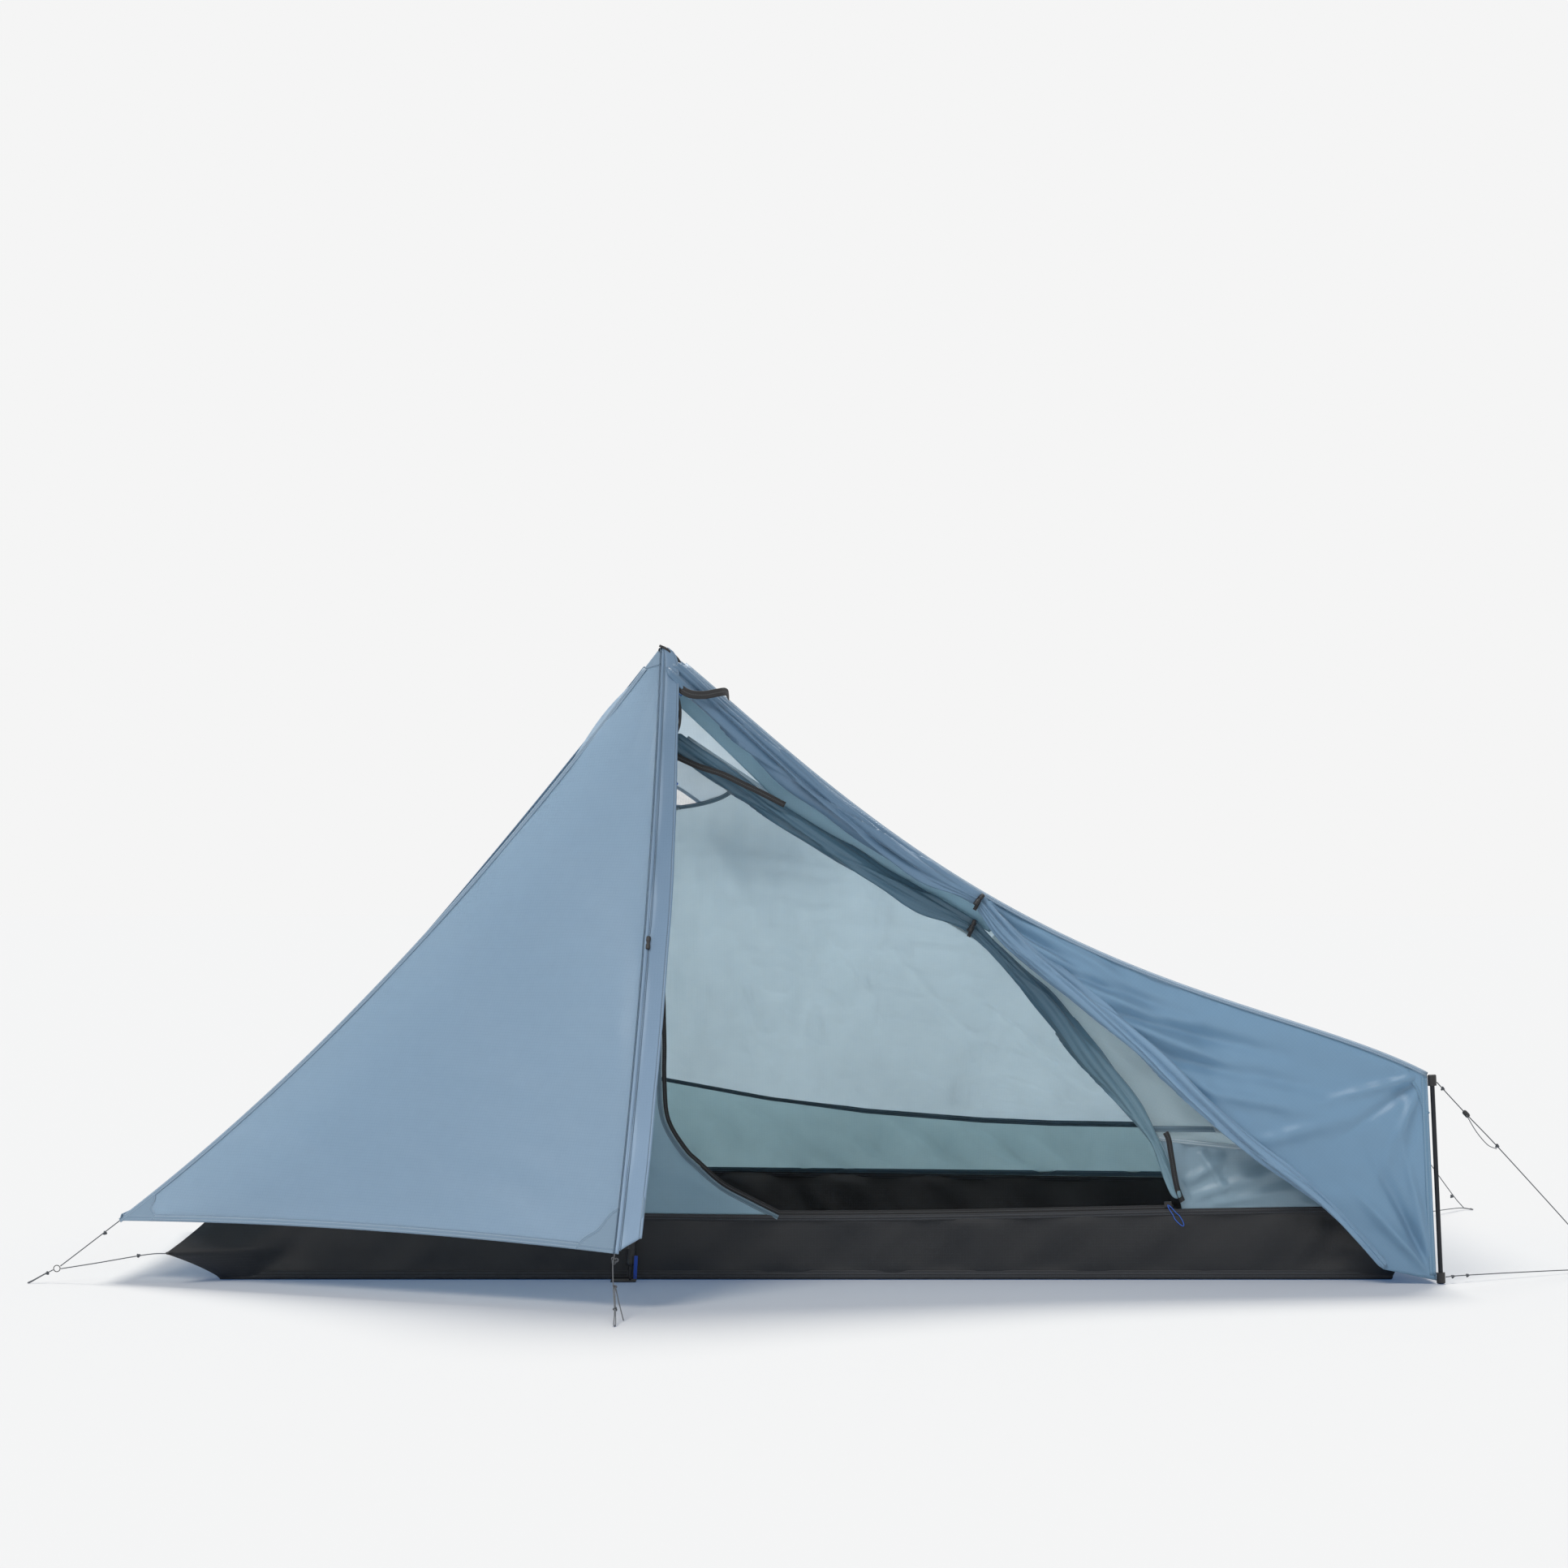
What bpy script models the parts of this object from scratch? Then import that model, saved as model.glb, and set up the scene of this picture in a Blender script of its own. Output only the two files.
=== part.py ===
"""Tarp tent for one sleeper, pitched on one trekking pole.

A silicone-coated fly hangs from the pole at the near side and from two short corner
struts at the foot end. A dark bathtub floor and a pale inner tent stand inside it.
Both doors on the near side are unzipped, rolled back and tied with toggles.

The frame: metres, +Z up, +X towards the foot end, the doors face -Y. The origin is
the middle of the groundsheet's underside.
"""

import math

import bmesh
import bpy
import numpy as np
from mathutils import Matrix, Vector

# Groundsheet and its bathtub walls
FLOOR_LENGTH = 2.14
FLOOR_WIDTH = 0.87
FLOOR_TAPER = 0.035
WALL_HEIGHT = 0.133
WALL_DIP = 0.015
FAR_WALL_DROP = 0.029
WALL_LEAN = 0.004
CORNER_PULL = 0.115
FOOT_CORNER_PULL = 0.040
CORNER_LIFT = 0.056

# Fly: where its peak, corners and hems stand
PEAK_HEIGHT = 1.153
PEAK_TO_HEAD = 0.262
PEAK_OUT = 0.040
HEM_HEIGHT = 0.108
HEAD_OVERHANG = 0.182
BACK_OVERHANG = 0.145
PORCH_DEPTH = 0.500
PORCH_SHIFT = 0.065
FOOT_OVERHANG = 0.052
FOOT_NEAR_OUT = 0.070
FOOT_FAR_OUT = 0.130
FOOT_HEIGHT = 0.378
FOOT_HEM = 0.006

# How far each seam hangs below a straight line between its ends
HEAD_SEAM_SAG = 0.072
BACK_SEAM_SAG = 0.030
RIDGE_SAG = 0.123
ZIP_BOW = 0.010
HEM_RISE = 0.012

# Inner tent
INNER_DROP = 0.133
INNER_FOOT_HEIGHT = 0.285
INNER_FAR_HEIGHT = 0.235
INNER_RIDGE_SAG = 0.040
INNER_FAR_SAG = 0.060
INNER_SEAM_SAG = 0.030
INNER_FOOT_GAP = 0.035
DOOR_SIDE = 0.003
DOOR_CURVE = 0.215
DOOR_CURVE_HEIGHT = 0.300
DOOR_RIGHT = 0.686

# Vent in the fly's back, below the peak
VENT_LIFT = 0.055

# Rolled doors and their toggles
OUTER_ROLL = 0.020
OUTER_ROLL_WIDE = 0.027
INNER_ROLL = 0.016
TOGGLE_PINCH = 0.010
TOGGLE_AT = 0.420
TOGGLE_LENGTH = 0.024
TOGGLE_WIDTH = 0.008
STRAP_WIDTH = 0.008

# Storm flap and zips
FLAP_WIDTH = 0.043
FLAP_TOP_WIDTH = 0.033
ZIP_TAPE = 0.022
TAPE_IN = 0.003
TAPE_SINKS = 0.0042
INNER_TAPE = 0.008
SLIDER_LENGTH = 0.013
SLIDER_WIDTH = 0.009
SLIDER_DEPTH = 0.0070
SLIDER_SLOT = 0.0040
INNER_SLOT = 0.0026
SLIDER_AT = 0.036
DOOR_PULL = 0.020
INNER_PULL = 0.048

# Foot struts
STRUT_HEIGHT = 0.377
STRUT_DIAMETER = 0.0085
CAP_DIAMETER = 0.0160
CAP_LENGTH = 0.0200
CAP_DEPTH = 0.0120

# Trekking pole
POLE_UNDER_PEAK = 0.0218
POLE_LEAN = 0.068
POLE_IN = 0.033
UPPER_SHAFT = 0.0180
MIDDLE_SHAFT = 0.0154
LOWER_SHAFT = 0.0128
SHAFT_WALL = 0.0010
UPPER_JOINT = 0.720
LOWER_JOINT = 0.400
MIDDLE_INSERT = 0.120
LOWER_INSERT = 0.140
GRIP_LENGTH = 0.235
GRIP_DIAMETER = 0.031
COLLAR_LENGTH = 0.036
COLLAR_DIAMETER = 0.025
LEVER_LENGTH = 0.026
TIP_LENGTH = 0.070
TIP_BIT = 0.006

# Cloth, webbing and cord
CLOTH = 0.0012
TUB_CLOTH = 0.0016
WEBBING = 0.0018
CORD = 0.0020
FINE_CORD = 0.0016
GAP = 0.0003
SEAM_GAP = 0.0005

# Where things stand, from the sizes above
NEAR = -FLOOR_WIDTH / 2
FAR = FLOOR_WIDTH / 2
HEAD = -FLOOR_LENGTH / 2
FOOT = FLOOR_LENGTH / 2
PEAK = np.array([-PEAK_TO_HEAD, NEAR - PEAK_OUT, PEAK_HEIGHT])
HEAD_NEAR = np.array([HEAD - HEAD_OVERHANG, NEAR, HEM_HEIGHT])
HEAD_FAR = np.array([HEAD - HEAD_OVERHANG, FAR + BACK_OVERHANG, HEM_HEIGHT])
PORCH = np.array([PEAK[0] - PORCH_SHIFT, NEAR - PORCH_DEPTH, HEM_HEIGHT - 0.011])
FOOT_NEAR = np.array([FOOT + FOOT_OVERHANG, NEAR - FOOT_NEAR_OUT, FOOT_HEIGHT])
FOOT_FAR = np.array([FOOT + FOOT_OVERHANG, FAR + FOOT_FAR_OUT, FOOT_HEIGHT])
FOOT_NEAR_LOW = np.array([FOOT_NEAR[0] + 0.017, FOOT_NEAR[1], FOOT_HEM])
FOOT_FAR_LOW = np.array([FOOT_FAR[0] + 0.017, FOOT_FAR[1], FOOT_HEM])
INNER_PEAK = np.array([PEAK[0], NEAR - 0.003, PEAK_HEIGHT - INNER_DROP])
MIDDLE = np.array([0.0, 0.0, 0.25])
APEX_SHARE = 0.030

for old in list(bpy.data.objects):
    bpy.data.objects.remove(old, do_unlink=True)


def material(name, colour, roughness, metallic=0.0):
    """A Principled material whose colour is given as the sRGB bytes read from the cloth."""
    made = bpy.data.materials.new(name)
    made.use_nodes = True
    shader = made.node_tree.nodes["Principled BSDF"]
    linear = [((byte / 255 + 0.055) / 1.055) ** 2.4 for byte in colour]
    shader.inputs["Base Color"].default_value = (*linear, 1.0)
    shader.inputs["Roughness"].default_value = roughness
    shader.inputs["Metallic"].default_value = metallic
    return made


FLY = material("fly_cloth", (124, 147, 170), 0.55)
FLY_DARK = material("fly_cloth_rolled", (99, 122, 140), 0.55)
INNER = material("inner_cloth", (164, 182, 192), 0.70)
INNER_DARK = material("inner_cloth_rolled", (70, 95, 113), 0.65)
TUB = material("tub_cloth", (45, 50, 54), 0.50)
BLACK = material("black_plastic", (28, 28, 30), 0.45)
TAPE = material("black_webbing", (26, 26, 28), 0.80)
ALLOY = material("shaft_alloy", (150, 152, 155), 0.30, 1.0)
DARK_ALLOY = material("strut_alloy", (42, 43, 46), 0.35, 1.0)
GRIP = material("grip_foam", (40, 40, 42), 0.85)
CORD_GREY = material("guyline", (62, 64, 68), 0.75)
COBALT = material("cobalt_cord", (30, 84, 190), 0.70)


def place_mesh(name, body, finish, pivot, sharp=40.0):
    """Put a bmesh, whose faces all turn the same way, into the scene with its origin at pivot."""
    if body.calc_volume(signed=True) < 0:
        bmesh.ops.reverse_faces(body, faces=body.faces)
    mesh = bpy.data.meshes.new(name)
    body.to_mesh(mesh)
    body.free()
    mesh.transform(Matrix.Translation(-Vector(pivot)))
    mesh.shade_smooth()
    mesh.set_sharp_from_angle(angle=math.radians(sharp))
    mesh.materials.append(finish)
    made = bpy.data.objects.new(name, mesh)
    made.location = pivot
    bpy.context.collection.objects.link(made)
    return made


def solid(name, points, faces, finish, pivot=(0, 0, 0)):
    """One closed body from its points and faces."""
    mesh = bpy.data.meshes.new(name)
    mesh.from_pydata(np.asarray(points).tolist(), [], faces)
    body = bmesh.new()
    body.from_mesh(mesh)
    bpy.data.meshes.remove(mesh)
    return place_mesh(name, body, finish, pivot)


def unit(vector):
    """The vector at length one."""
    vector = np.asarray(vector, float)
    return vector / np.linalg.norm(vector, axis=-1, keepdims=True)


def facing(first, second, third):
    """Unit normal of a triangle, pointing away from the middle of the tent."""
    normal = unit(np.cross(second - first, third - first))
    return normal if normal @ (first - MIDDLE) > 0 else -normal


def mitre(*faces, level=False):
    """How a corner moves in when every face that meets there is one unit thick.

    A level cut keeps the height, where a wall of cloth stands on something flat.
    """
    rows = list(faces) + ([(0.0, 0.0, 1.0)] if level else [])
    sizes = [1.0] * len(faces) + ([0.0] if level else [])
    return np.linalg.lstsq(np.array(rows), np.array(sizes), rcond=None)[0]


def span(start, end, bow=(0.0, 0.0, 0.0), early=1.0, late=1.0):
    """A curve from start to end that leaves the straight line by bow where it leaves it most."""
    start, end, bow = (np.asarray(value, float) for value in (start, end, bow))
    most = early / (early + late)
    full = most ** early * (1 - most) ** late

    def at(share):
        share = np.asarray(share, float)[..., None]
        return start + (end - start) * share + bow * share ** early * (1 - share) ** late / full
    return at


def part_of(curve, low, high):
    """The stretch of a curve between two shares."""
    return lambda share: curve(low + (high - low) * np.asarray(share, float))


def joined(first, second, turn):
    """Two curves end to end, with the first one up to the share turn."""
    def at(share):
        share = np.asarray(share, float)
        early = first(np.clip(share / turn, 0, 1))
        late = second(np.clip((share - turn) / (1 - turn), 0, 1))
        return np.where((share < turn)[..., None], early, late)
    return at


def through(points):
    """A smooth curve through a few route points, by Catmull and Rom's cubic."""
    points = np.asarray(points, float)
    ends = np.vstack([2 * points[0] - points[1], points, 2 * points[-1] - points[-2]])
    steps = np.linalg.norm(np.diff(points, axis=0), axis=1)
    marks = np.concatenate([[0], np.cumsum(steps)]) / steps.sum()

    def at(share):
        share = np.clip(np.asarray(share, float), 0, 1)
        piece = np.clip(np.searchsorted(marks, share, side="right") - 1, 0, len(steps) - 1)
        t = ((share - marks[piece]) / (marks[piece + 1] - marks[piece]))[..., None]
        a, b, c, d = (ends[piece + k] for k in range(4))
        return 0.5 * (2 * b + (c - a) * t + (2 * a - 5 * b + 4 * c - d) * t ** 2
                      + (3 * b - a - 3 * c + d) * t ** 3)
    return at


def patch(left, right, top, bottom, s, t, hold=1):
    """Surface spanned by four edge curves, at shares s down it and t across it.

    It is ruled between left and right, plus what the top and bottom curves leave the straight lines by.
    That fades linearly down the surface, as in a Coons patch, or faster with a higher hold.
    """
    s, t = np.meshgrid(s, t, indexing="ij")
    down, across = s[..., None], t[..., None]
    ruled = (1 - across) * left(s) + across * right(s)
    top_bow = top(t) - (1 - across) * left(0.0) - across * right(0.0)
    bottom_bow = bottom(t) - (1 - across) * left(1.0) - across * right(1.0)
    return ruled + (1 - down) ** hold * top_bow + down ** hold * bottom_bow


def grid_normals(grid, centre=MIDDLE):
    """Unit normals of a grid of points, pointing away from centre."""
    down, across = np.gradient(grid, axis=0), np.gradient(grid, axis=1)
    normals = np.cross(down, across)
    normals /= np.maximum(np.linalg.norm(normals, axis=-1, keepdims=True), 1e-12)
    middle = tuple(size // 2 for size in grid.shape[:2])
    return normals if normals[middle] @ (grid[middle] - centre) > 0 else -normals


def edge_spots(side, rows, cols):
    """Grid places along one side of a sheet: its spot and the one next to it inwards."""
    if side in ("left", "right"):
        edge, inner = (0, 1) if side == "left" else (cols - 1, cols - 2)
        return [((row, edge), (row, inner)) for row in range(rows)]
    edge, inner = (0, 1) if side == "top" else (rows - 1, rows - 2)
    return [((edge, col), (inner, col)) for col in range(cols)]


def square_in(face, spots):
    """For each spot of a side, the direction into the sheet and square to that side."""
    line = np.array([face[spot] for spot, _ in spots])
    inwards = np.array([face[beside] for _, beside in spots]) - line
    way = np.gradient(line, axis=0)
    way = way / np.linalg.norm(way, axis=1, keepdims=True)
    square = inwards - way * np.sum(inwards * way, axis=1, keepdims=True)
    return square / np.linalg.norm(square, axis=1, keepdims=True)


def shell_faces(keep, wrap=False):
    """Triangles of a closed shell over the kept cells of a grid: its two sides and its edge.

    Both sides are cut along the same diagonals, so a twisted cell keeps its thickness. With wrap, the
    last column of cells meets the first.
    """
    rows = keep.shape[0] + 1
    cells = keep.shape[1]
    cols = cells if wrap else cells + 1
    back = rows * cols
    faces = []
    for row, col in zip(*np.nonzero(keep)):
        after = (col + 1) % cols
        a, b, c, d = row * cols + col, row * cols + after, (row + 1) * cols + after, (row + 1) * cols + col
        faces += [[a, b, c], [a, c, d], [back + a, back + c, back + b], [back + a, back + d, back + c]]
        beside = {(a, b): (row - 1, col), (b, c): (row, col + 1), (c, d): (row + 1, col), (d, a): (row, col - 1)}
        for (first, second), (r, q) in beside.items():
            q = q % cells if wrap else q
            if not (0 <= r < rows - 1 and 0 <= q < cells and keep[r, q]):
                faces += [[second, first, back + first], [second, back + first, back + second]]
    return faces


def two_sided(name, outer, inner, finish, keep=None, wrap=False):
    """A closed shell between an outer and an inner grid of points."""
    rows, cols = outer.shape[:2]
    if keep is None:
        keep = np.ones((rows - 1, cols if wrap else cols - 1), bool)
    points = np.concatenate([outer.reshape(-1, 3), inner.reshape(-1, 3)])
    faces = shell_faces(keep, wrap)
    used = sorted({spot for face in faces for spot in face})
    number = {spot: place for place, spot in enumerate(used)}
    return solid(name, points[used], [[number[spot] for spot in face] for face in faces], finish)


def cloth(name, grid, finish, own=None, seams=None, keep=None, thick=CLOTH, centre=MIDDLE):
    """A sheet of cloth whose outer face is the grid and whose thickness runs inwards.

    seams gives, for each side that is sewn to another panel, the other panels' normals, as a list or as
    a function of the place along the side. There the sheet is mitred, and drawn back by half the gap.
    A side given as "level" is cut level instead, and stays where the grid puts it.
    """
    rows, cols = grid.shape[:2]
    outer = grid.copy()
    inner = grid - grid_normals(grid, centre) * thick
    meets, flat = {}, set()
    for side, others in (seams or {}).items():
        for number, (spot, _) in enumerate(edge_spots(side, rows, cols)):
            if others == "level":
                flat.add(spot)
                meets.setdefault(spot, [])
            else:
                meets.setdefault(spot, []).extend(others(number) if callable(others) else others)
    for spot, others in meets.items():
        inner[spot] = grid[spot] - thick * mitre(own, *others, level=spot in flat)
    for side in (side for side, others in (seams or {}).items() if others != "level"):
        spots = edge_spots(side, rows, cols)
        for face in (outer, inner):
            pulls = square_in(face, spots)
            for (spot, _), pull in zip(spots, pulls):
                face[spot] += pull * SEAM_GAP / 2
    return two_sided(name, outer, inner, finish, keep)


def tube_faces(rings, sides):
    """Faces of a capped tube of so many rings and sides."""
    faces = [[r * sides + k, r * sides + (k + 1) % sides, (r + 1) * sides + (k + 1) % sides, (r + 1) * sides + k]
             for r in range(rings - 1) for k in range(sides)]
    return faces + [list(range(sides))[::-1], [(rings - 1) * sides + k for k in range(sides)]]


def swept(name, path, section, finish, front=(0.0, -1.0, 0.0), pivot=(0, 0, 0), hoop=False):
    """A section carried along a path: section is rings of (towards the front, up) offsets.

    The up direction is square to the path and to front. A hoop closes on itself, with no end caps.
    """
    path = np.asarray(path, float)
    section = np.asarray(section, float)
    ahead = np.roll(path, -1, 0) - np.roll(path, 1, 0) if hoop else np.gradient(path, axis=0)
    ahead = unit(ahead)
    front = np.broadcast_to(np.asarray(front, float), path.shape)
    front = unit(front - ahead * (front * ahead).sum(1, keepdims=True))
    up = np.cross(front, ahead)
    if section.ndim == 2:
        section = np.broadcast_to(section, (len(path), *section.shape))
    points = path[:, None] + section[..., :1] * front[:, None] + section[..., 1:] * up[:, None]
    sides, rings = section.shape[1], len(path)
    faces = tube_faces(rings, sides)
    if hoop:
        last = (rings - 1) * sides
        faces = faces[:-2] + [[last + k, last + (k + 1) % sides, (k + 1) % sides, k] for k in range(sides)]
    return solid(name, points.reshape(-1, 3), faces, finish, pivot)


def strip(width, thick):
    """Section of a flat strap: thick towards the front, width across."""
    return [(-thick / 2, -width / 2), (thick / 2, -width / 2), (thick / 2, width / 2), (-thick / 2, width / 2)]


def turned(name, profile, foot, head, finish, sides=20, hollow=False, pivot=None):
    """A solid turned about the line from foot to head, from (radius, height above foot) points."""
    body = bmesh.new()
    ring = [body.verts.new((radius, 0.0, height)) for radius, height in profile]
    edges = [body.edges.new(pair) for pair in zip(ring, ring[1:])]
    if hollow:
        edges.append(body.edges.new((ring[-1], ring[0])))
    bmesh.ops.spin(body, geom=ring + edges, cent=(0, 0, 0), axis=(0, 0, 1), angle=math.tau, steps=sides,
                   use_merge=True)
    bmesh.ops.remove_doubles(body, verts=body.verts, dist=1e-6)
    bmesh.ops.recalc_face_normals(body, faces=body.faces)
    turn = Vector((0, 0, 1)).rotation_difference(Vector(head) - Vector(foot)).to_matrix().to_4x4()
    body.transform(Matrix.Translation(Vector(foot)) @ turn)
    return place_mesh(name, body, finish, foot if pivot is None else pivot)


def block(name, centre, size, finish, frame=Matrix.Identity(3), bevel=0.0, pivot=None, taper=0.0):
    """A box with rounded edges, turned by frame, its +Z end narrowed by the share taper."""
    body = bmesh.new()
    bmesh.ops.create_cube(body, size=1.0)
    for corner in body.verts:
        narrow = 1 - taper * (corner.co.z + 0.5)
        corner.co = Vector((corner.co.x * size[0] * narrow, corner.co.y * size[1], corner.co.z * size[2]))
    if bevel:
        bmesh.ops.bevel(body, geom=body.edges[:], offset=bevel, segments=2, profile=0.5, affect="EDGES")
    body.transform(Matrix.Translation(Vector(centre)) @ frame.to_4x4())
    return place_mesh(name, body, finish, centre if pivot is None else pivot)


def cord(name, route, diameter, finish, points=24):
    """A cord along a smooth curve through its route, as a bevelled curve with closed ends."""
    line = bpy.data.curves.new(name, "CURVE")
    line.dimensions = "3D"
    line.bevel_depth = diameter / 2
    line.bevel_resolution = 2
    line.use_fill_caps = True
    places = through(route)(np.linspace(0, 1, points))
    places[:, 2] = np.maximum(places[:, 2], diameter / 2 + GAP)
    spline = line.splines.new("POLY")
    spline.points.add(points - 1)
    for point, place in zip(spline.points, places):
        point.co = (*place, 1.0)
    line.materials.append(finish)
    made = bpy.data.objects.new(name, line)
    bpy.context.collection.objects.link(made)
    return made

# The fly: five sewn panels whose seams all run up to the peak
N_FRONT = facing(PEAK, HEAD_NEAR, PORCH)
N_HEAD = facing(PEAK, HEAD_NEAR, HEAD_FAR)
N_BACK = facing(PEAK, HEAD_FAR, FOOT_FAR)
N_ROOF = facing(PEAK, FOOT_NEAR, FOOT_FAR)
N_FOOT = np.array([1.0, 0.0, 0.0])
N_DOOR = np.array([0.0, -1.0, 0.0])
FLAP_OUT = unit(np.array([1.0, 0.15, 0.0]))
N_FLAP = np.cross(FLAP_OUT, (0.0, 0.0, 1.0))

HEAD_SEAM = span(PEAK, HEAD_NEAR, (0, 0, -HEAD_SEAM_SAG))
BACK_SEAM = span(PEAK, HEAD_FAR, (0, 0, -BACK_SEAM_SAG))
RIDGE = span(PEAK, FOOT_NEAR, (0, 0, -RIDGE_SAG), 1.3, 1.6)
BACK_RIDGE = span(PEAK, FOOT_FAR, (0, 0, -RIDGE_SAG), 1.3, 1.6)
ZIP_LINE = span(PEAK, PORCH, (ZIP_BOW, 0, 0))
FOOT_TOP = span(FOOT_NEAR, FOOT_FAR, (0, 0, -HEM_RISE * 2))
FOOT_SIDE_NEAR = span(FOOT_NEAR, FOOT_NEAR_LOW)
FOOT_SIDE_FAR = span(FOOT_FAR, FOOT_FAR_LOW)


def below_apex(seam):
    """A seam from the apex patch down to its corner."""
    return part_of(seam, APEX_SHARE, 1.0)


def top_between(first, second):
    """The straight edge under the apex patch between two seams."""
    return span(below_apex(first)(0.0), below_apex(second)(0.0))


def fly_panel(name, first, second, hem, own, first_meets, second_meets, rows, cols):
    """A fly panel between two seams that run down from the apex patch."""
    grid = patch(below_apex(first), below_apex(second), top_between(first, second), hem, rows, cols)
    seams = {"left": first_meets, "right": second_meets, "top": []}
    return cloth(name, grid, FLY, own, seams)


# Rows down the panels. Panels that share a seam share its points, so their edges run alike.
# The back panel's last rows go down the far strut, past the share BACK_TURN.
BACK_TURN = 0.78
VENT_TOP, VENT_LOW = 0.05, 0.22
FALL = [0.0, 0.025, VENT_TOP, 0.10, 0.16, VENT_LOW, 0.30, 0.40, 0.50, 0.60, 0.69, BACK_TURN, 0.89, 1.0]
ROOF_FALL = [share / BACK_TURN for share in FALL if share <= BACK_TURN]
ACROSS = np.linspace(0, 1, 9)

fly_panel("fly_front_panel", HEAD_SEAM, ZIP_LINE, span(HEAD_NEAR, PORCH, (0, 0, HEM_RISE)),
          N_FRONT, [N_HEAD], lambda row: [N_FLAP] if row else [], FALL, ACROSS)
fly_panel("fly_head_end", BACK_SEAM, HEAD_SEAM, span(HEAD_FAR, HEAD_NEAR, (0.03, 0, HEM_RISE)),
          N_HEAD, [N_BACK], [N_FRONT], FALL, ACROSS)


def fly_roof():
    """The roof panel, a triangle from the peak to the tops of the two foot struts."""
    grid = patch(below_apex(RIDGE), below_apex(BACK_RIDGE), top_between(RIDGE, BACK_RIDGE), FOOT_TOP,
                 ROOF_FALL, np.linspace(0, 1, 7))
    seams = {"left": [N_DOOR], "right": [N_BACK], "top": [], "bottom": [N_FOOT]}
    return cloth("fly_roof_panel", grid, FLY, N_ROOF, seams)


def fly_foot():
    """The upright foot end between the two struts, its hem lifted between them."""
    hem = span(FOOT_NEAR_LOW, FOOT_FAR_LOW, (0, 0, 0.05))
    grid = patch(FOOT_SIDE_NEAR, FOOT_SIDE_FAR, FOOT_TOP, hem, np.linspace(0, 1, 5), np.linspace(0, 1, 7))
    seams = {"left": [N_DOOR], "right": [N_BACK], "top": [N_ROOF]}
    return cloth("fly_foot_end", grid, FLY, N_FOOT, seams)


# The back panel turns down the far strut, so its right side has a corner at the strut's top
BACK_RIGHT = joined(below_apex(BACK_RIDGE), FOOT_SIDE_FAR, BACK_TURN)
BACK_TOP = top_between(BACK_SEAM, BACK_RIDGE)
BACK_HEM = span(HEAD_FAR, FOOT_FAR_LOW, (0, -0.02, HEM_RISE))
BACK_COLS = [0.0, 0.12, 0.25, 0.375, 0.5, 0.625, 0.75, 0.88, 1.0]


def back_surface(rows, cols):
    """The back panel's outer face."""
    return patch(below_apex(BACK_SEAM), BACK_RIGHT, BACK_TOP, BACK_HEM, rows, cols)


def fly_back():
    """The sloping back panel with the vent cut through it below the peak."""
    grid = back_surface(FALL, BACK_COLS)
    keep = np.ones((len(FALL) - 1, len(BACK_COLS) - 1), bool)
    keep[FALL.index(VENT_TOP):FALL.index(VENT_LOW), 2:6] = False
    turn = FALL.index(BACK_TURN)

    def right_meets(row):
        return ([N_ROOF] if row <= turn else []) + ([N_FOOT] if row >= turn else [])
    return cloth("fly_back_panel", grid, FLY, N_BACK,
                 {"left": [N_HEAD], "right": right_meets, "top": []}, keep)


def apex_patch():
    """The reinforced cap over the peak, where all five seams end on the pole."""
    around = [ZIP_LINE, HEAD_SEAM, BACK_SEAM, BACK_RIDGE, RIDGE]
    faces = [N_FRONT, N_HEAD, N_BACK, N_ROOF, N_DOOR]
    ring = np.array([below_apex(seam)(0.0) for seam in around])
    outer = np.vstack([PEAK, ring + unit(PEAK - ring) * GAP * 2.2])
    drops = [mitre(*faces)] + [mitre(faces[k - 1], faces[k]) for k in range(5)]
    inner = outer - CLOTH * np.array(drops)
    skin = [[0, 1 + k, 1 + (k + 1) % 5] for k in range(5)]
    back = [[6 + spot for spot in reversed(face)] for face in skin]
    edge = [[1 + (k + 1) % 5, 1 + k, 7 + k, 7 + (k + 1) % 5] for k in range(5)]
    return solid("apex_patch", np.vstack([outer, inner]), skin + back + edge, TAPE)


def vent_hood():
    """The rain hood over the vent: sewn round its top and sides, and propped out at its lower edge."""
    rows = np.array([0.027, VENT_TOP - 0.005, 0.10, 0.16, VENT_LOW - 0.005, VENT_LOW + 0.02])
    cols = np.array([0.22, 0.30, 0.375, 0.5, 0.625, 0.70, 0.78])
    ground = back_surface(rows, cols)
    out = grid_normals(ground)
    down = ((rows - rows[0]) / (rows[-1] - rows[0]))[:, None, None]
    side = 1 - np.abs((cols - cols.mean()) / (cols[-1] - cols.mean()))[None, :, None]
    lift = GAP * 3 + CLOTH + VENT_LIFT * down ** 1.2 * np.sin(np.pi / 2 * side)
    return cloth("vent_hood", ground + out * lift, FLY)


fly_roof()
fly_foot()
fly_back()
apex_patch()
vent_hood()

# The near side: the door is rolled back under the ridge to its toggle, then down to the near strut's foot
DOOR_CORNER = FOOT_NEAR_LOW
ROLL_START = 0.055
ROLL_END = DOOR_CORNER + np.array([-0.075, -0.012, 0.024])
UPPER_STATIONS = 18
LOWER_STATIONS = 26
SPREAD_FROM = 0.50


def up_from(path, front=(0.0, -1.0, 0.0)):
    """The direction square to a path and to the front, on the side away from the ground."""
    ahead = unit(np.gradient(path, axis=0))
    front = np.broadcast_to(np.asarray(front, float), path.shape)
    front = unit(front - ahead * (front * ahead).sum(1, keepdims=True))
    return np.cross(front, ahead)


def along(path):
    """Length along a path to each of its points."""
    return np.concatenate([[0.0], np.cumsum(np.linalg.norm(np.diff(path, axis=0), axis=1))])


def pinched(distance, full, pinch, reach):
    """Radius of a roll that a toggle draws in, at each distance from the toggle."""
    return full + (pinch - full) * np.exp(-(distance / reach) ** 2)


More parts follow.
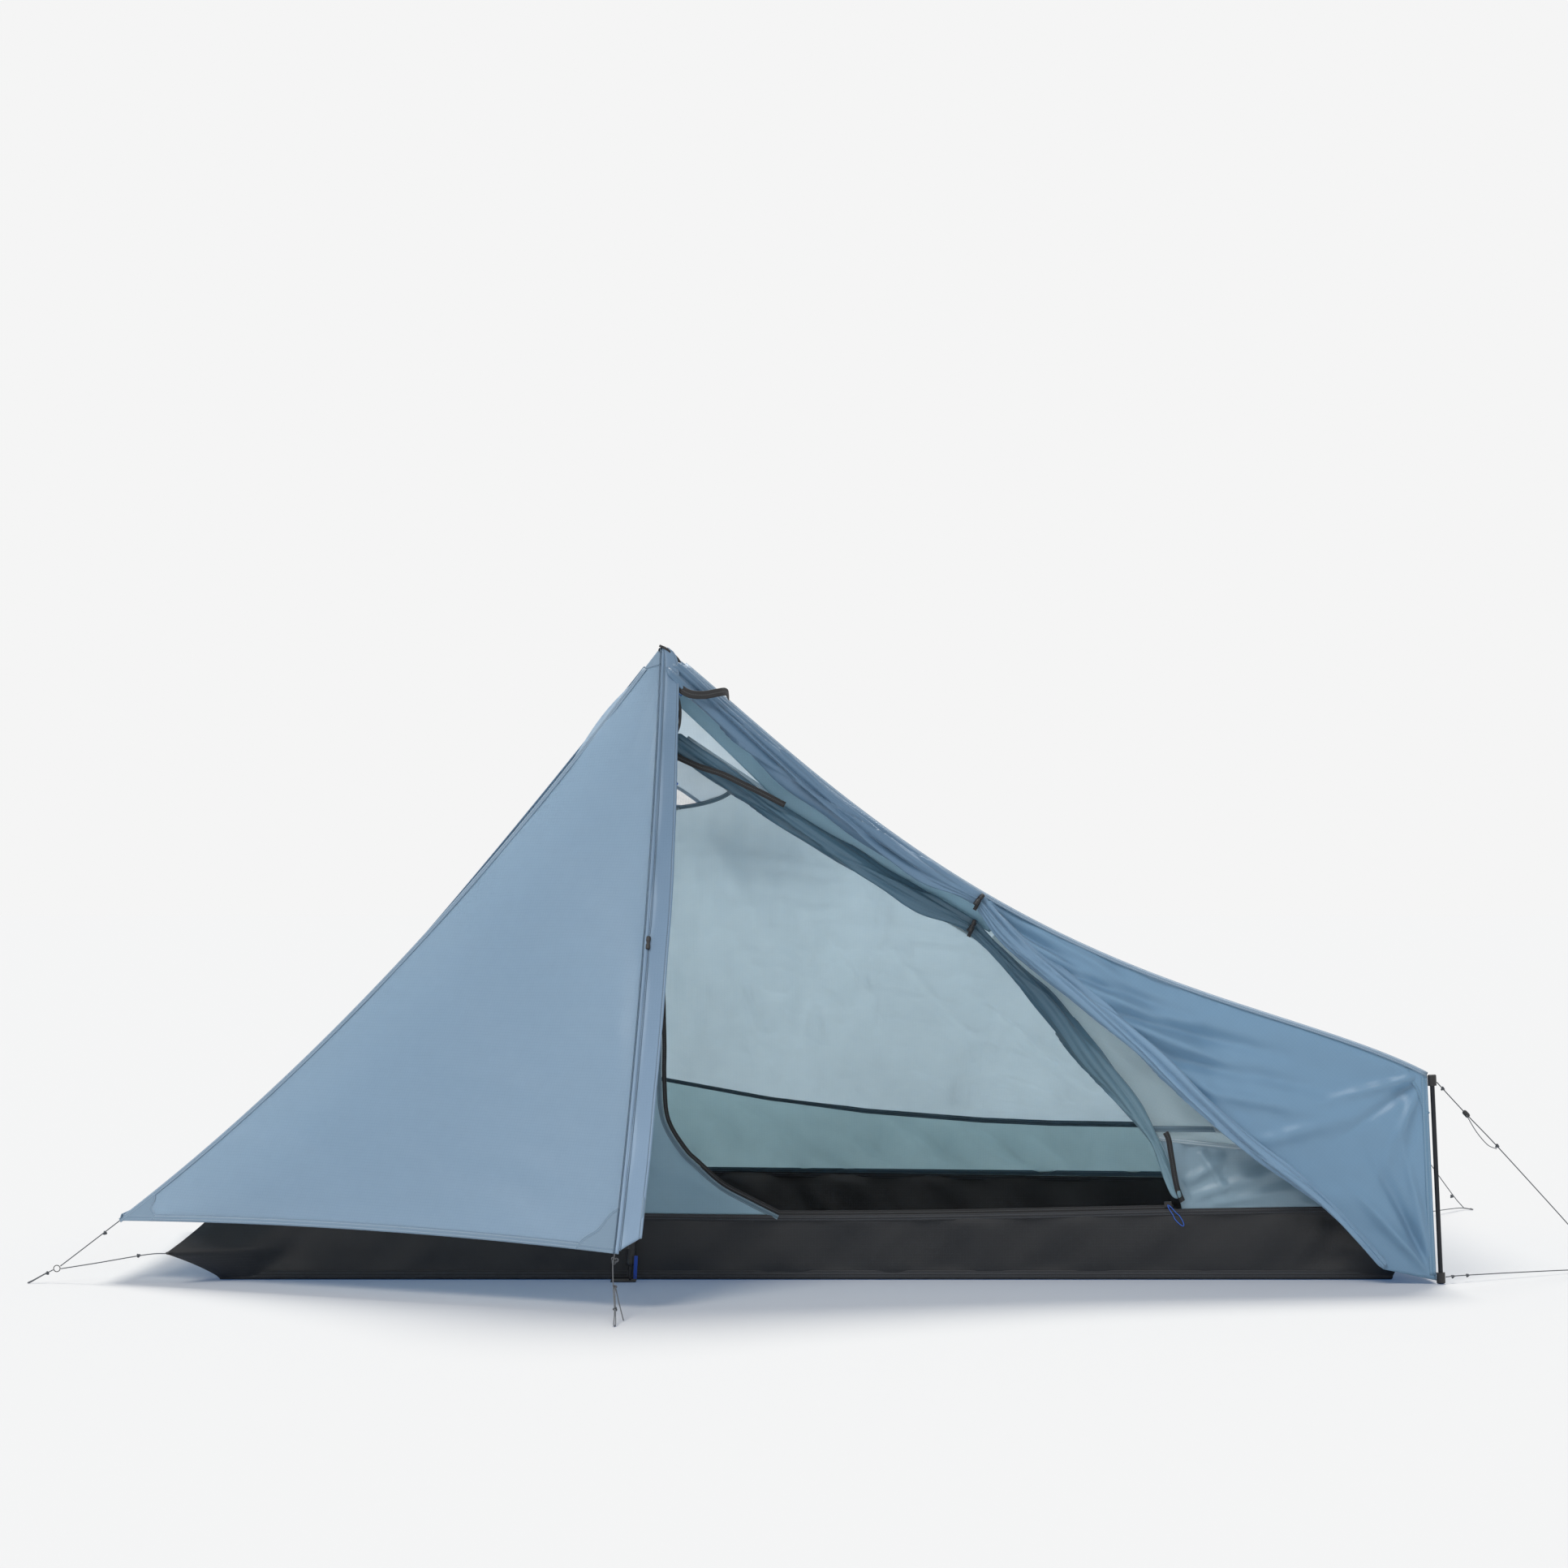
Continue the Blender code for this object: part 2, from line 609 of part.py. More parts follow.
def roll_section(front, up, sides=16, fold=0.14):
    """Rings of a rolled cloth's section: full at the front, back, top and bottom, drawn in between."""
    turn = np.arange(sides) / sides * math.tau
    draw = 1 - fold * np.sin(2 * turn) ** 2
    return np.stack([front[:, None] * np.cos(turn) * draw, up[:, None] * np.sin(turn) * draw], axis=-1)


def tied_roll(edge, lower, hang, full_front, full_up, reach):
    """Path and two radii of a roll that hangs under an edge to its toggle, then follows a lower line."""
    upward = up_from(edge)
    distance = along(edge) - along(edge)[-1]
    under = pinched(distance, full_up, TOGGLE_PINCH, reach) + hang
    upper = edge - upward * under[:, None]
    path = np.vstack([upper, lower(upper[-1])])
    distance = along(path) - along(path)[len(edge) - 1]
    taper = np.clip((along(path)[-1] - along(path)) / 0.30, 0.38, 1.0)
    front = pinched(distance, full_front, TOGGLE_PINCH, reach) * taper
    up = pinched(distance, full_up, TOGGLE_PINCH, reach) * taper
    return path, front, up


def outer_lower(start):
    """The rolled door's line from its toggle to the strut's foot, a long low bow."""
    return span(start, ROLL_END, (0, 0, 0.026), 1.9, 1.1)(np.linspace(0, 1, LOWER_STATIONS + 1)[1:])


OUTER_EDGE = RIDGE(np.linspace(ROLL_START, TOGGLE_AT, UPPER_STATIONS)) + np.array([0, -0.010, 0])
OUTER_PATH, OUTER_FRONT, OUTER_UP = tied_roll(OUTER_EDGE, outer_lower, GAP + 2 * CLOTH, OUTER_ROLL,
                                              OUTER_ROLL_WIDE, 0.09)
swept("fly_door_roll", OUTER_PATH, roll_section(OUTER_FRONT, OUTER_UP), FLY_DARK)


def straight_through(shares, points):
    """Straight lines from point to point, each point at its share."""
    def at(share):
        share = np.asarray(share, float)
        return np.stack([np.interp(share, shares, points[:, axis]) for axis in range(3)], axis=-1)
    return at


def spread_door():
    """The part of the door that stays spread, between the ridge, the near strut and the roll."""
    start = UPPER_STATIONS + 2
    seat = (OUTER_PATH + up_from(OUTER_PATH) * (OUTER_UP + 2 * GAP)[:, None])[start:]
    shares = along(seat) / along(seat)[-1]

    low = straight_through(shares, seat)
    seam = np.array(ROOF_FALL)
    high = part_of(straight_through(seam, below_apex(RIDGE)(seam)), SPREAD_FROM, 1.0)
    turns = (seam - SPREAD_FROM) / (1 - SPREAD_FROM)
    rows = np.unique(np.round(np.concatenate([shares, turns[(turns > 0) & (turns < 1)]]), 6))
    side = joined(span(low(1.0), DOOR_CORNER), span(DOOR_CORNER, FOOT_NEAR), 0.25)
    cols = [0.0, 0.125, 0.25, 0.42, 0.6, 0.8, 1.0]
    grid = patch(low, high, span(low(0.0), high(0.0)), side, rows, cols, hold=8)

    def foot_meets(col):
        return [N_FOOT] if cols[col] >= 0.25 else []
    return cloth("fly_door_panel", grid, FLY, N_DOOR, {"right": [N_ROOF], "bottom": foot_meets},
                 centre=np.array([0.5, 0.0, 0.3]))


spread_door()


# The bathtub floor: a flat sheet with an upright wall sewn round it
CORNERS = [np.array([HEAD, NEAR, 0.0]), np.array([FOOT, NEAR, 0.0]),
           np.array([FOOT, FAR - FLOOR_TAPER, 0.0]), np.array([HEAD, FAR, 0.0])]
WALL_FOOT = TUB_CLOTH + GAP
WALL_SHARES = [0.0, 0.045, 0.16, 0.33, 0.5, 0.67, 0.84, 0.955]


def wall_height(place):
    """Height of the wall's top: the near side dips at its middle, the far side falls to the foot."""
    along_floor = (place[0] - HEAD) / FLOOR_LENGTH
    near_top = WALL_HEIGHT - WALL_DIP * np.sin(np.pi * along_floor) ** 2
    far_top = WALL_HEIGHT + 0.4 * FAR_WALL_DROP - FAR_WALL_DROP * along_floor
    across_floor = (place[1] - NEAR) / FLOOR_WIDTH
    return near_top + (far_top - near_top) * across_floor


def tub_outline():
    """Points round the floor's edge with the direction that points out of the tub at each."""
    places, outward, pulls = [], [], []
    for number, corner in enumerate(CORNERS):
        ahead = CORNERS[(number + 1) % 4]
        behind = CORNERS[number - 1]
        normal = unit(np.cross(ahead - corner, [0, 0, 1.0]))
        before = unit(np.cross(corner - behind, [0, 0, 1.0]))
        for share in WALL_SHARES:
            places.append(corner + (ahead - corner) * share)
            outward.append(unit(normal + before) if share == 0.0 else normal)
            pull = CORNER_PULL if corner[0] < 0 else FOOT_CORNER_PULL
            pulls.append(pull if share == 0.0 else 0.0)
    return np.array(places), np.array(outward), np.array(pulls)


TUB_PLACES, TUB_OUTWARD, TUB_PULLS = tub_outline()
TUB_TOPS = np.array([wall_height(place) for place in TUB_PLACES])


def bathtub():
    """The groundsheet and the wall that stands on its edge, pulled out to a point at each corner."""
    sheet = bmesh.new()
    ring = [sheet.verts.new(corner) for corner in CORNERS]
    face = sheet.faces.new(ring)
    raised = bmesh.ops.extrude_face_region(sheet, geom=[face])
    lifted = [item for item in raised["geom"] if isinstance(item, bmesh.types.BMVert)]
    bmesh.ops.translate(sheet, verts=lifted, vec=(0, 0, TUB_CLOTH))
    bmesh.ops.recalc_face_normals(sheet, faces=sheet.faces)
    place_mesh("groundsheet", sheet, TUB, (0, 0, 0))
    heights = np.stack([np.zeros_like(TUB_TOPS), np.full_like(TUB_TOPS, CORNER_LIFT), TUB_TOPS])
    leans = np.stack([np.zeros_like(TUB_TOPS), TUB_PULLS, np.full_like(TUB_TOPS, WALL_LEAN)])
    heights[0] = WALL_FOOT
    outer = TUB_PLACES + leans[..., None] * TUB_OUTWARD + heights[..., None] * [0, 0, 1.0]
    inner = outer - TUB_CLOTH * TUB_OUTWARD
    two_sided("bathtub_wall", outer, inner, TUB, wrap=True)


bathtub()


def wall_top(side):
    """The wall's top edge along one side of the floor, from its first corner to its second."""
    count = len(WALL_SHARES)
    numbers = [(side * count + k) % (4 * count) for k in range(count + 1)]
    middle = TUB_OUTWARD[numbers] * (WALL_LEAN - TUB_CLOTH / 2)
    rim = TUB_PLACES[numbers] + middle + np.outer(TUB_TOPS[numbers] + 2 * GAP, [0, 0, 1.0])
    return straight_through(np.array(WALL_SHARES + [1.0]), rim)


def backwards(curve):
    """A curve run from its end to its start."""
    return lambda share: curve(1.0 - np.asarray(share, float))


# The inner tent, hung inside the fly and sewn to the top of the wall
NEAR_TOP, FOOT_TOP_WALL, FAR_TOP, HEAD_TOP = (wall_top(side) for side in range(4))
IN_HEAD_NEAR, IN_FOOT_NEAR = NEAR_TOP(0.0), NEAR_TOP(1.0)
IN_FOOT_FAR, IN_HEAD_FAR = FAR_TOP(0.0), FAR_TOP(1.0)
IN_NEAR_CORNER = np.array([FOOT - INNER_FOOT_GAP, INNER_PEAK[1], INNER_FOOT_HEIGHT])
IN_FAR_CORNER = np.array([FOOT - INNER_FOOT_GAP, FAR - FLOOR_TAPER - 0.010, INNER_FAR_HEIGHT])
IN_FRONT = np.array([0.0, -1.0, 0.0])
IN_HEAD = facing(INNER_PEAK, IN_HEAD_NEAR, IN_HEAD_FAR)
IN_BACK = facing(INNER_PEAK, IN_HEAD_FAR, IN_FAR_CORNER)
IN_ROOF = facing(INNER_PEAK, IN_NEAR_CORNER, IN_FAR_CORNER)
IN_FOOT = np.array([1.0, 0.0, 0.0])

IN_HEAD_SEAM = span(INNER_PEAK, IN_HEAD_NEAR, (0, 0, -INNER_SEAM_SAG))
IN_BACK_SEAM = span(INNER_PEAK, IN_HEAD_FAR, (0, 0, -INNER_SEAM_SAG))
IN_RIDGE = span(INNER_PEAK, IN_NEAR_CORNER, (0, 0, -INNER_RIDGE_SAG))
IN_FAR_RIDGE = span(INNER_PEAK, IN_FAR_CORNER, (0, 0, -INNER_FAR_SAG))
IN_TOP = 0.025
BAND_AT, WINDOW_LOW = 0.78, 0.17
IN_ROWS = [0.0, 0.06, 0.11, WINDOW_LOW, 0.28, 0.42, 0.56, 0.68, BAND_AT, 0.88, 1.0]
IN_COLS = [0.0, 0.16, 0.32, 0.45, 0.6, 0.8, 1.0]
WINDOW_COL = 3


def inner_seam(curve):
    """A seam of the inner tent from just under its peak down."""
    return part_of(curve, IN_TOP, 1.0)


def inner_across(first, second):
    """The short straight edge under the inner peak, between two seams."""
    return span(inner_seam(first)(0.0), inner_seam(second)(0.0))


def inner_back():
    """The back wall: pale upper cloth with the mesh window at its top, and a lower band under the tape."""
    side = span(IN_FAR_CORNER, IN_FOOT_FAR)
    right = joined(inner_seam(IN_FAR_RIDGE), side, BAND_AT)
    left = inner_seam(IN_BACK_SEAM)
    grid = patch(left, right, inner_across(IN_BACK_SEAM, IN_FAR_RIDGE), backwards(FAR_TOP), IN_ROWS, IN_COLS)
    turn, low = IN_ROWS.index(BAND_AT), IN_ROWS.index(WINDOW_LOW)
    keep = np.ones((turn, len(IN_COLS) - 1), bool)
    keep[:low, :WINDOW_COL] = False

    def meets(row):
        return [IN_ROOF] if row < turn else [IN_ROOF, IN_FOOT]

    def band_meets(row):
        return [IN_FOOT] if row else [IN_ROOF, IN_FOOT]
    cloth("inner_back_upper", grid[:turn + 1], INNER, IN_BACK, {"left": [IN_HEAD], "right": meets,
                                                                "bottom": []}, keep)
    cloth("inner_back_band", grid[turn:], INNER, IN_BACK,
          {"left": [IN_HEAD], "right": band_meets, "top": [], "bottom": "level"})
    window = grid[:low + 1, :WINDOW_COL + 1]
    cloth("inner_mesh_window", window, INNER, IN_BACK, {"left": [IN_HEAD], "right": [], "bottom": []})


def inner_ends():
    """The inner tent's head end, roof and upright foot end."""
    head = patch(inner_seam(IN_BACK_SEAM), inner_seam(IN_HEAD_SEAM), inner_across(IN_BACK_SEAM, IN_HEAD_SEAM),
                 HEAD_TOP, IN_ROWS, WALL_SHARES[::2] + [1.0])
    cloth("inner_head_end", head, INNER, IN_HEAD,
          {"left": [IN_BACK], "right": [IN_FRONT], "bottom": "level"})
    rows = [row / BAND_AT for row in IN_ROWS if row <= BAND_AT]
    roof = patch(inner_seam(IN_RIDGE), inner_seam(IN_FAR_RIDGE), inner_across(IN_RIDGE, IN_FAR_RIDGE),
                 span(IN_NEAR_CORNER, IN_FAR_CORNER), rows, [0.0, 0.5, 1.0])
    cloth("inner_roof_panel", roof, INNER, IN_ROOF, {"left": [IN_FRONT], "right": [IN_BACK],
                                                     "bottom": [IN_FOOT]})
    foot = patch(span(IN_NEAR_CORNER, IN_FOOT_NEAR), span(IN_FAR_CORNER, IN_FOOT_FAR),
                 span(IN_NEAR_CORNER, IN_FAR_CORNER), FOOT_TOP_WALL, [0.0, 0.5, 1.0],
                 WALL_SHARES[::2] + [1.0])
    cloth("inner_foot_end", foot, INNER, IN_FOOT,
          {"left": [IN_FRONT], "right": [IN_BACK], "top": [IN_ROOF], "bottom": "level"})


inner_back()
inner_ends()


# The inner tent's near wall: cloth left and right of the D-shaped door, and the door rolled to the right
DOOR_LEFT = INNER_PEAK[0] - DOOR_SIDE
DOOR_FOOT = DOOR_LEFT + DOOR_CURVE
RIGHT_SHARE = (DOOR_RIGHT - HEAD) / FLOOR_LENGTH
FOOT_SHARE = (DOOR_FOOT - HEAD) / FLOOR_LENGTH
IN_TIE_AT = 0.44
ROLL_GAP = 0.0006


def front_left():
    """Cloth between the head seam and the door's curved left edge, with the top of the zip's binding."""
    top = inner_seam(IN_HEAD_SEAM)(0.0)
    bend = np.array([DOOR_LEFT, NEAR_TOP(0.0)[1], DOOR_CURVE_HEIGHT])
    start = top + np.array([0.012, 0, 0])
    low = NEAR_TOP(FOOT_SHARE)
    turn = np.linspace(0, math.pi / 2, 7)[1:]
    round_part = [np.array([low[0] - DOOR_CURVE * math.cos(a), bend[1],
                            low[2] + (bend[2] - low[2]) * (1 - math.sin(a))]) for a in turn]
    points = np.array([start, (start * 2 + bend) / 3, (start + bend * 2) / 3, bend, *round_part])
    points[-1] = low
    shares = along(points) / along(points)[-1]
    edge = straight_through(shares, points)
    left = inner_seam(IN_HEAD_SEAM)
    rows = np.unique(np.round(np.concatenate([IN_ROWS, shares]), 6))
    hem = part_of(NEAR_TOP, 0.0, FOOT_SHARE)
    bottoms = [share / FOOT_SHARE for share in WALL_SHARES if share < FOOT_SHARE] + [1.0]
    across = np.unique(np.round(np.concatenate([[0.0, 0.35, 0.7, 1.0], bottoms]), 6))
    grid = patch(left, edge, span(left(0.0), edge(0.0)), hem, rows, across, hold=6)
    cloth("inner_front_left", grid, INNER, IN_FRONT, {"left": [IN_HEAD], "bottom": "level"})
    return points


DOOR_EDGE = front_left()


def inner_lower(start):
    """The rolled inner door's line from its toggle down to the zip's end at the floor."""
    end = np.array([DOOR_RIGHT - 0.004, start[1], WALL_HEIGHT + 0.022])
    return span(start, end, (0.012, 0, 0.016), 1.4, 1.2)(np.linspace(0, 1, 21)[1:])


IN_EDGE = IN_RIDGE(np.linspace(0.030, IN_TIE_AT, 14)) + np.array([0, -INNER_ROLL - ROLL_GAP, 0])
IN_PATH, IN_FRONT_SIZE, IN_UP_SIZE = tied_roll(IN_EDGE, inner_lower, GAP + 2 * CLOTH, INNER_ROLL,
                                               INNER_ROLL * 1.15, 0.07)
swept("inner_door_roll", IN_PATH, roll_section(IN_FRONT_SIZE, IN_UP_SIZE, sides=12), INNER_DARK)


def front_right():
    """Cloth right of the door: pale above, satin below the gathered seam, sewn to ridge, foot and floor."""
    low = NEAR_TOP(RIGHT_SHARE)
    ridge_from = IN_TIE_AT + 0.03
    start = IN_RIDGE(ridge_from) + np.array([-0.012, 0, -0.016])
    left = span(start, low, (-0.010, 0, 0.012), 1.4, 1.2)
    right = joined(part_of(IN_RIDGE, ridge_from, 1.0), span(IN_NEAR_CORNER, IN_FOOT_NEAR), 0.80)
    seam = (IN_TOP + (1 - IN_TOP) * np.array([row / BAND_AT for row in IN_ROWS if row <= BAND_AT]) - ridge_from)
    seam = seam / (1 - ridge_from) * 0.80
    seam = seam[(seam > 0.01) & (seam < 0.79)]
    band = seam[np.argmin(np.abs(seam - GATHER_SHARE))]
    rows = np.concatenate([[0.0], seam, [0.80, 0.9, 1.0]])
    bottoms = [(share - RIGHT_SHARE) / (1 - RIGHT_SHARE) for share in WALL_SHARES if share > RIGHT_SHARE]
    across = np.unique(np.round(np.concatenate([[0.0, 0.35, 0.7, 1.0], bottoms]), 6))
    hem = part_of(NEAR_TOP, RIGHT_SHARE, 1.0)
    grid = patch(left, right, span(left(0.0), right(0.0)), hem, rows, across, hold=4)
    turn = int(np.argmin(np.abs(rows - band)))
    foot = int(np.argmin(np.abs(rows - 0.80)))

    def upper_meets(row):
        return [IN_ROOF]

    def lower_meets(row):
        return ([IN_ROOF] if row + turn <= foot else []) + ([IN_FOOT] if row + turn >= foot else [])
    cloth("inner_front_right", grid[:turn + 1], INNER, IN_FRONT, {"right": upper_meets, "bottom": []})
    cloth("inner_front_right_low", grid[turn:], INNER, IN_FRONT,
          {"right": lower_meets, "top": [], "bottom": "level"})


GATHER_SHARE = 0.62
front_right()


# The outer door's storm flap and zip, along the front panel's edge
def beside_zip(near, far, behind_near, behind_far, rows):
    """A strip beside the zip line, between two widths, each at its depth behind the flap's face."""
    line = below_apex(ZIP_LINE)(rows)
    spread = np.linspace(0, 1, 4)[None, :, None]
    width = near[:, None, None] * (1 - spread) + far[:, None, None] * spread
    depth = behind_near * (1 - spread) + behind_far * spread
    return line[:, None] + FLAP_OUT * width - N_FLAP * depth


ZIP_ROWS = np.array(FALL[1:])
FLAP_WIDE = np.interp(ZIP_ROWS, [0.0, 0.4, 1.0], [FLAP_TOP_WIDTH, FLAP_WIDTH, FLAP_WIDTH])
NONE = np.zeros(len(ZIP_ROWS))
cloth("storm_flap", beside_zip(NONE, FLAP_WIDE, 0.0, 0.0, ZIP_ROWS), FLY, N_FLAP, {"left": [N_FRONT]})
cloth("door_zip_tape", beside_zip(NONE + TAPE_IN, NONE + TAPE_IN + ZIP_TAPE, CLOTH + GAP, CLOTH + GAP + TAPE_SINKS,
                                  ZIP_ROWS), TAPE, N_FLAP)


def slider(name, start, end, front, finish, slot):
    """A zip slider: a block with a slot for the tape, open on the side away from its up direction."""
    wide, deep, slot, wall = SLIDER_WIDTH / 2, SLIDER_DEPTH / 2, slot / 2, SLIDER_WIDTH / 2 - 0.002
    outline = [(-deep, -wide), (-slot, -wide), (-slot, wall), (slot, wall), (slot, -wide), (deep, -wide),
               (deep, wide), (-deep, wide)]
    start, end = np.asarray(start, float), np.asarray(end, float)
    path = [start, start + unit(end - start) * SLIDER_LENGTH]
    return swept(name, path, outline, finish, front=front, pivot=start)


def pull(name, start, way, side, long, finish):
    """A cord pull: a thin loop that hangs from a slider's face."""
    turn = np.linspace(0, math.tau, 18, endpoint=False)
    middle = np.asarray(start) + unit(way) * long / 2
    path = middle - unit(way) * np.cos(turn)[:, None] * long / 2 + unit(side) * (
        np.sin(turn) * np.where(np.cos(turn) > 0, long * 0.07, long * 0.11))[:, None]
    ring = roll_section(np.full(18, FINE_CORD / 2), np.full(18, FINE_CORD / 2), sides=6, fold=0.0)
    return swept(name, path, ring, finish, front=np.cross(unit(way), unit(side)), pivot=start, hoop=True)


TEETH = below_apex(ZIP_LINE)
TEETH_IN = FLAP_OUT * (TAPE_IN + ZIP_TAPE - 0.0012) - N_FLAP * (CLOTH + TAPE_SINKS + CLOTH / 2)
slider("door_slider", TEETH(SLIDER_AT) + TEETH_IN, TEETH(0.30) + TEETH_IN, N_FLAP, BLACK, SLIDER_SLOT)
PULL_WAY = np.array([0.50, 0.0, -0.86])
pull("door_pull", TEETH(SLIDER_AT) + TEETH_IN + FLAP_OUT * (SLIDER_WIDTH / 2 + FINE_CORD / 2 + GAP) + (0, 0, -0.004),
     PULL_WAY, np.cross(PULL_WAY, (0, 1, 0)), DOOR_PULL, COBALT)


# The inner door's zip, down the cloth's curved edge and along the floor's wall, with its slider at the end
def inner_zip():
    """The zip's line on its wall side, and its slider and pull."""
    turns = np.unique(np.concatenate([[FOOT_SHARE, RIGHT_SHARE],
                                      [share for share in WALL_SHARES if FOOT_SHARE < share < RIGHT_SHARE]]))
    edge = np.vstack([DOOR_EDGE[1:-1], NEAR_TOP(turns)])
    edge[:, 1] += CLOTH / 2
    centre = edge + up_from(edge) * (INNER_TAPE / 2 + 2 * GAP)
    centre[-1] += (-0.018, 0, 0)
    swept("inner_zip_tape", centre, strip(INNER_TAPE, CLOTH), TAPE)
    rise = np.array([0, 0, INNER_TAPE / 2 + 0.0002])
    start, end = centre[-1] - (SLIDER_LENGTH + 0.001, 0, 0) + rise, centre[-3] + rise
    slider("inner_slider", start, start + (start - end), (0, -1, 0), BLACK, INNER_SLOT)
    way = np.array([0.60, 0.0, -0.80])
    pull("inner_pull", start + (0.006, -SLIDER_DEPTH / 2 - FINE_CORD / 2 - GAP, -0.001), way,
         np.cross(way, (0, 1, 0)), INNER_PULL, COBALT)
    return centre, start, end


IN_ZIP, IN_SLIDE_FROM, IN_SLIDE_TO = inner_zip()


# Ties that hold the rolled doors, each a loop of webbing with a toggle through it
def tie(strap, toggle, path, spot, tilt):
    """A webbing loop round a roll's tied place, and the toggle bar in front of it."""
    centre = path[spot]
    ahead = unit(path[spot + 1] - path[spot - 1])
    out = unit(np.array([0.0, -1.0, 0.0]) - ahead * -ahead[1])
    up = np.cross(out, ahead)
    turn = np.linspace(0, math.tau, 24, endpoint=False)[:, None]
    radial = out * np.cos(turn) + up * np.sin(turn)
    reach = TOGGLE_PINCH + GAP * 4 + WEBBING / 2
    swept(strap, centre + radial * reach, strip(STRAP_WIDTH, WEBBING), TAPE, front=radial, hoop=True)
    spin = centre + out * (reach + WEBBING / 2 + GAP + TOGGLE_WIDTH / 2)
    bar = unit(np.array([-math.sin(tilt), 0.0, math.cos(tilt)]))
    peg(toggle, spin, bar)


def peg(name, centre, bar):
    """A toggle bar: a short round peg, narrow at its middle, turning about its middle."""
    half, round_ = TOGGLE_LENGTH / 2, TOGGLE_WIDTH / 2
    profile = [(0, 0), (round_ * 0.8, 0), (round_, 0.0015), (round_, half * 0.7), (round_ * 0.75, half * 0.85),
               (round_ * 0.75, half * 1.15), (round_, half * 1.3), (round_, 2 * half - 0.0015),
               (round_ * 0.8, 2 * half), (0, 2 * half)]
    turned(name, profile, centre - bar * half, centre + bar * half, BLACK, sides=14, pivot=centre)


tie("outer_tie_strap", "outer_toggle", OUTER_PATH, UPPER_STATIONS - 1, -0.7)
tie("inner_tie_strap", "inner_toggle", IN_PATH, len(IN_EDGE) - 1, -0.4)
FLAP_PEG = ZIP_LINE(0.505) + FLAP_OUT * 0.006 + N_FLAP * (TOGGLE_WIDTH / 2 + GAP * 4)
peg("flap_toggle", FLAP_PEG, unit(ZIP_LINE(0.48) - ZIP_LINE(0.53)))


# The trekking pole, grip up, from the ground to the peak. Heights are shares of its line, in metres from its foot.
POLE_TOP = PEAK + np.array([0.010, 0.007, -POLE_UNDER_PEAK])
POLE_FOOT = np.array([POLE_TOP[0] - POLE_LEAN, NEAR - POLE_IN, WEBBING + GAP])
POLE_WAY = unit(POLE_TOP - POLE_FOOT)
POLE_LENGTH = float(np.linalg.norm(POLE_TOP - POLE_FOOT))


def on_pole(height):
    """A place on the pole's line, at this distance from its foot."""
    return POLE_FOOT + POLE_WAY * height


def tube(name, low, high, outer, inner, finish, pivot=None, sides=24):
    """A tube on the pole's line."""
    ring = [(inner, 0), (outer, 0), (outer, high - low), (inner, high - low)]
    turned(name, ring, on_pole(low), on_pole(high), finish, sides=sides, hollow=True, pivot=pivot)


def pole():
    """Grip, three shafts that slide into each other, two lever locks and the tip."""
    grip_low, cap = POLE_LENGTH - GRIP_LENGTH, POLE_LENGTH - 0.030
    wide, bore = GRIP_DIAMETER / 2, UPPER_SHAFT / 2 + GAP
    depth = cap - grip_low
    hand = [(0, depth), (bore, depth), (bore, 0), (wide * 0.80, 0), (wide * 0.94, 0.012), (wide * 0.80, 0.060),
            (wide * 0.88, 0.105), (wide * 0.80, 0.150), (wide * 0.90, 0.190), (wide, GRIP_LENGTH - 0.022),
            (wide * 0.93, GRIP_LENGTH - 0.010), (wide * 0.66, GRIP_LENGTH - 0.003), (0, GRIP_LENGTH)]
    turned("pole_grip", hand, on_pole(grip_low), POLE_TOP, GRIP, sides=28)
    tube("upper_shaft", UPPER_JOINT, cap - GAP, UPPER_SHAFT / 2, UPPER_SHAFT / 2 - SHAFT_WALL, ALLOY)
    tube("middle_shaft", LOWER_JOINT, UPPER_JOINT + MIDDLE_INSERT, MIDDLE_SHAFT / 2,
         MIDDLE_SHAFT / 2 - SHAFT_WALL, ALLOY, on_pole(LOWER_JOINT))
    tube("lower_shaft", TIP_LENGTH + GAP, LOWER_JOINT + LOWER_INSERT, LOWER_SHAFT / 2,
         LOWER_SHAFT / 2 - SHAFT_WALL, ALLOY, on_pole(TIP_LENGTH + GAP))
    tip = [(0, 0), (0.0018, 0), (0.0028, TIP_BIT), (0.0034, TIP_BIT), (0.0044, 0.026), (0.0084, 0.0275),
           (0.0092, 0.033), (0.0084, 0.038), (0.0078, 0.040), (LOWER_SHAFT / 2 + 0.0010, TIP_LENGTH), (0, TIP_LENGTH)]
    turned("pole_tip", tip, POLE_FOOT, on_pole(TIP_LENGTH), BLACK, sides=24, pivot=POLE_FOOT)
    for name, joint, shaft in (("upper", UPPER_JOINT, UPPER_SHAFT), ("lower", LOWER_JOINT, MIDDLE_SHAFT)):
        high, low = joint + COLLAR_LENGTH * 0.60, joint - COLLAR_LENGTH * 0.40
        inner, outer = shaft / 2 + GAP, COLLAR_DIAMETER / 2
        thin = (MIDDLE_SHAFT if name == "upper" else LOWER_SHAFT) / 2 + GAP
        ring = [(inner, 0.40 * COLLAR_LENGTH - GAP), (thin, 0.40 * COLLAR_LENGTH - GAP), (thin, 0),
                (outer * 0.86, 0), (outer, 0.005), (outer, high - low - 0.004), (outer * 0.90, high - low),
                (inner, high - low)]
        turned(name + "_collar", ring, on_pole(low), on_pole(high), BLACK, sides=24, hollow=True,
               pivot=on_pole(low))
        lever(name + "_lever", on_pole(joint + 0.003), outer + GAP)


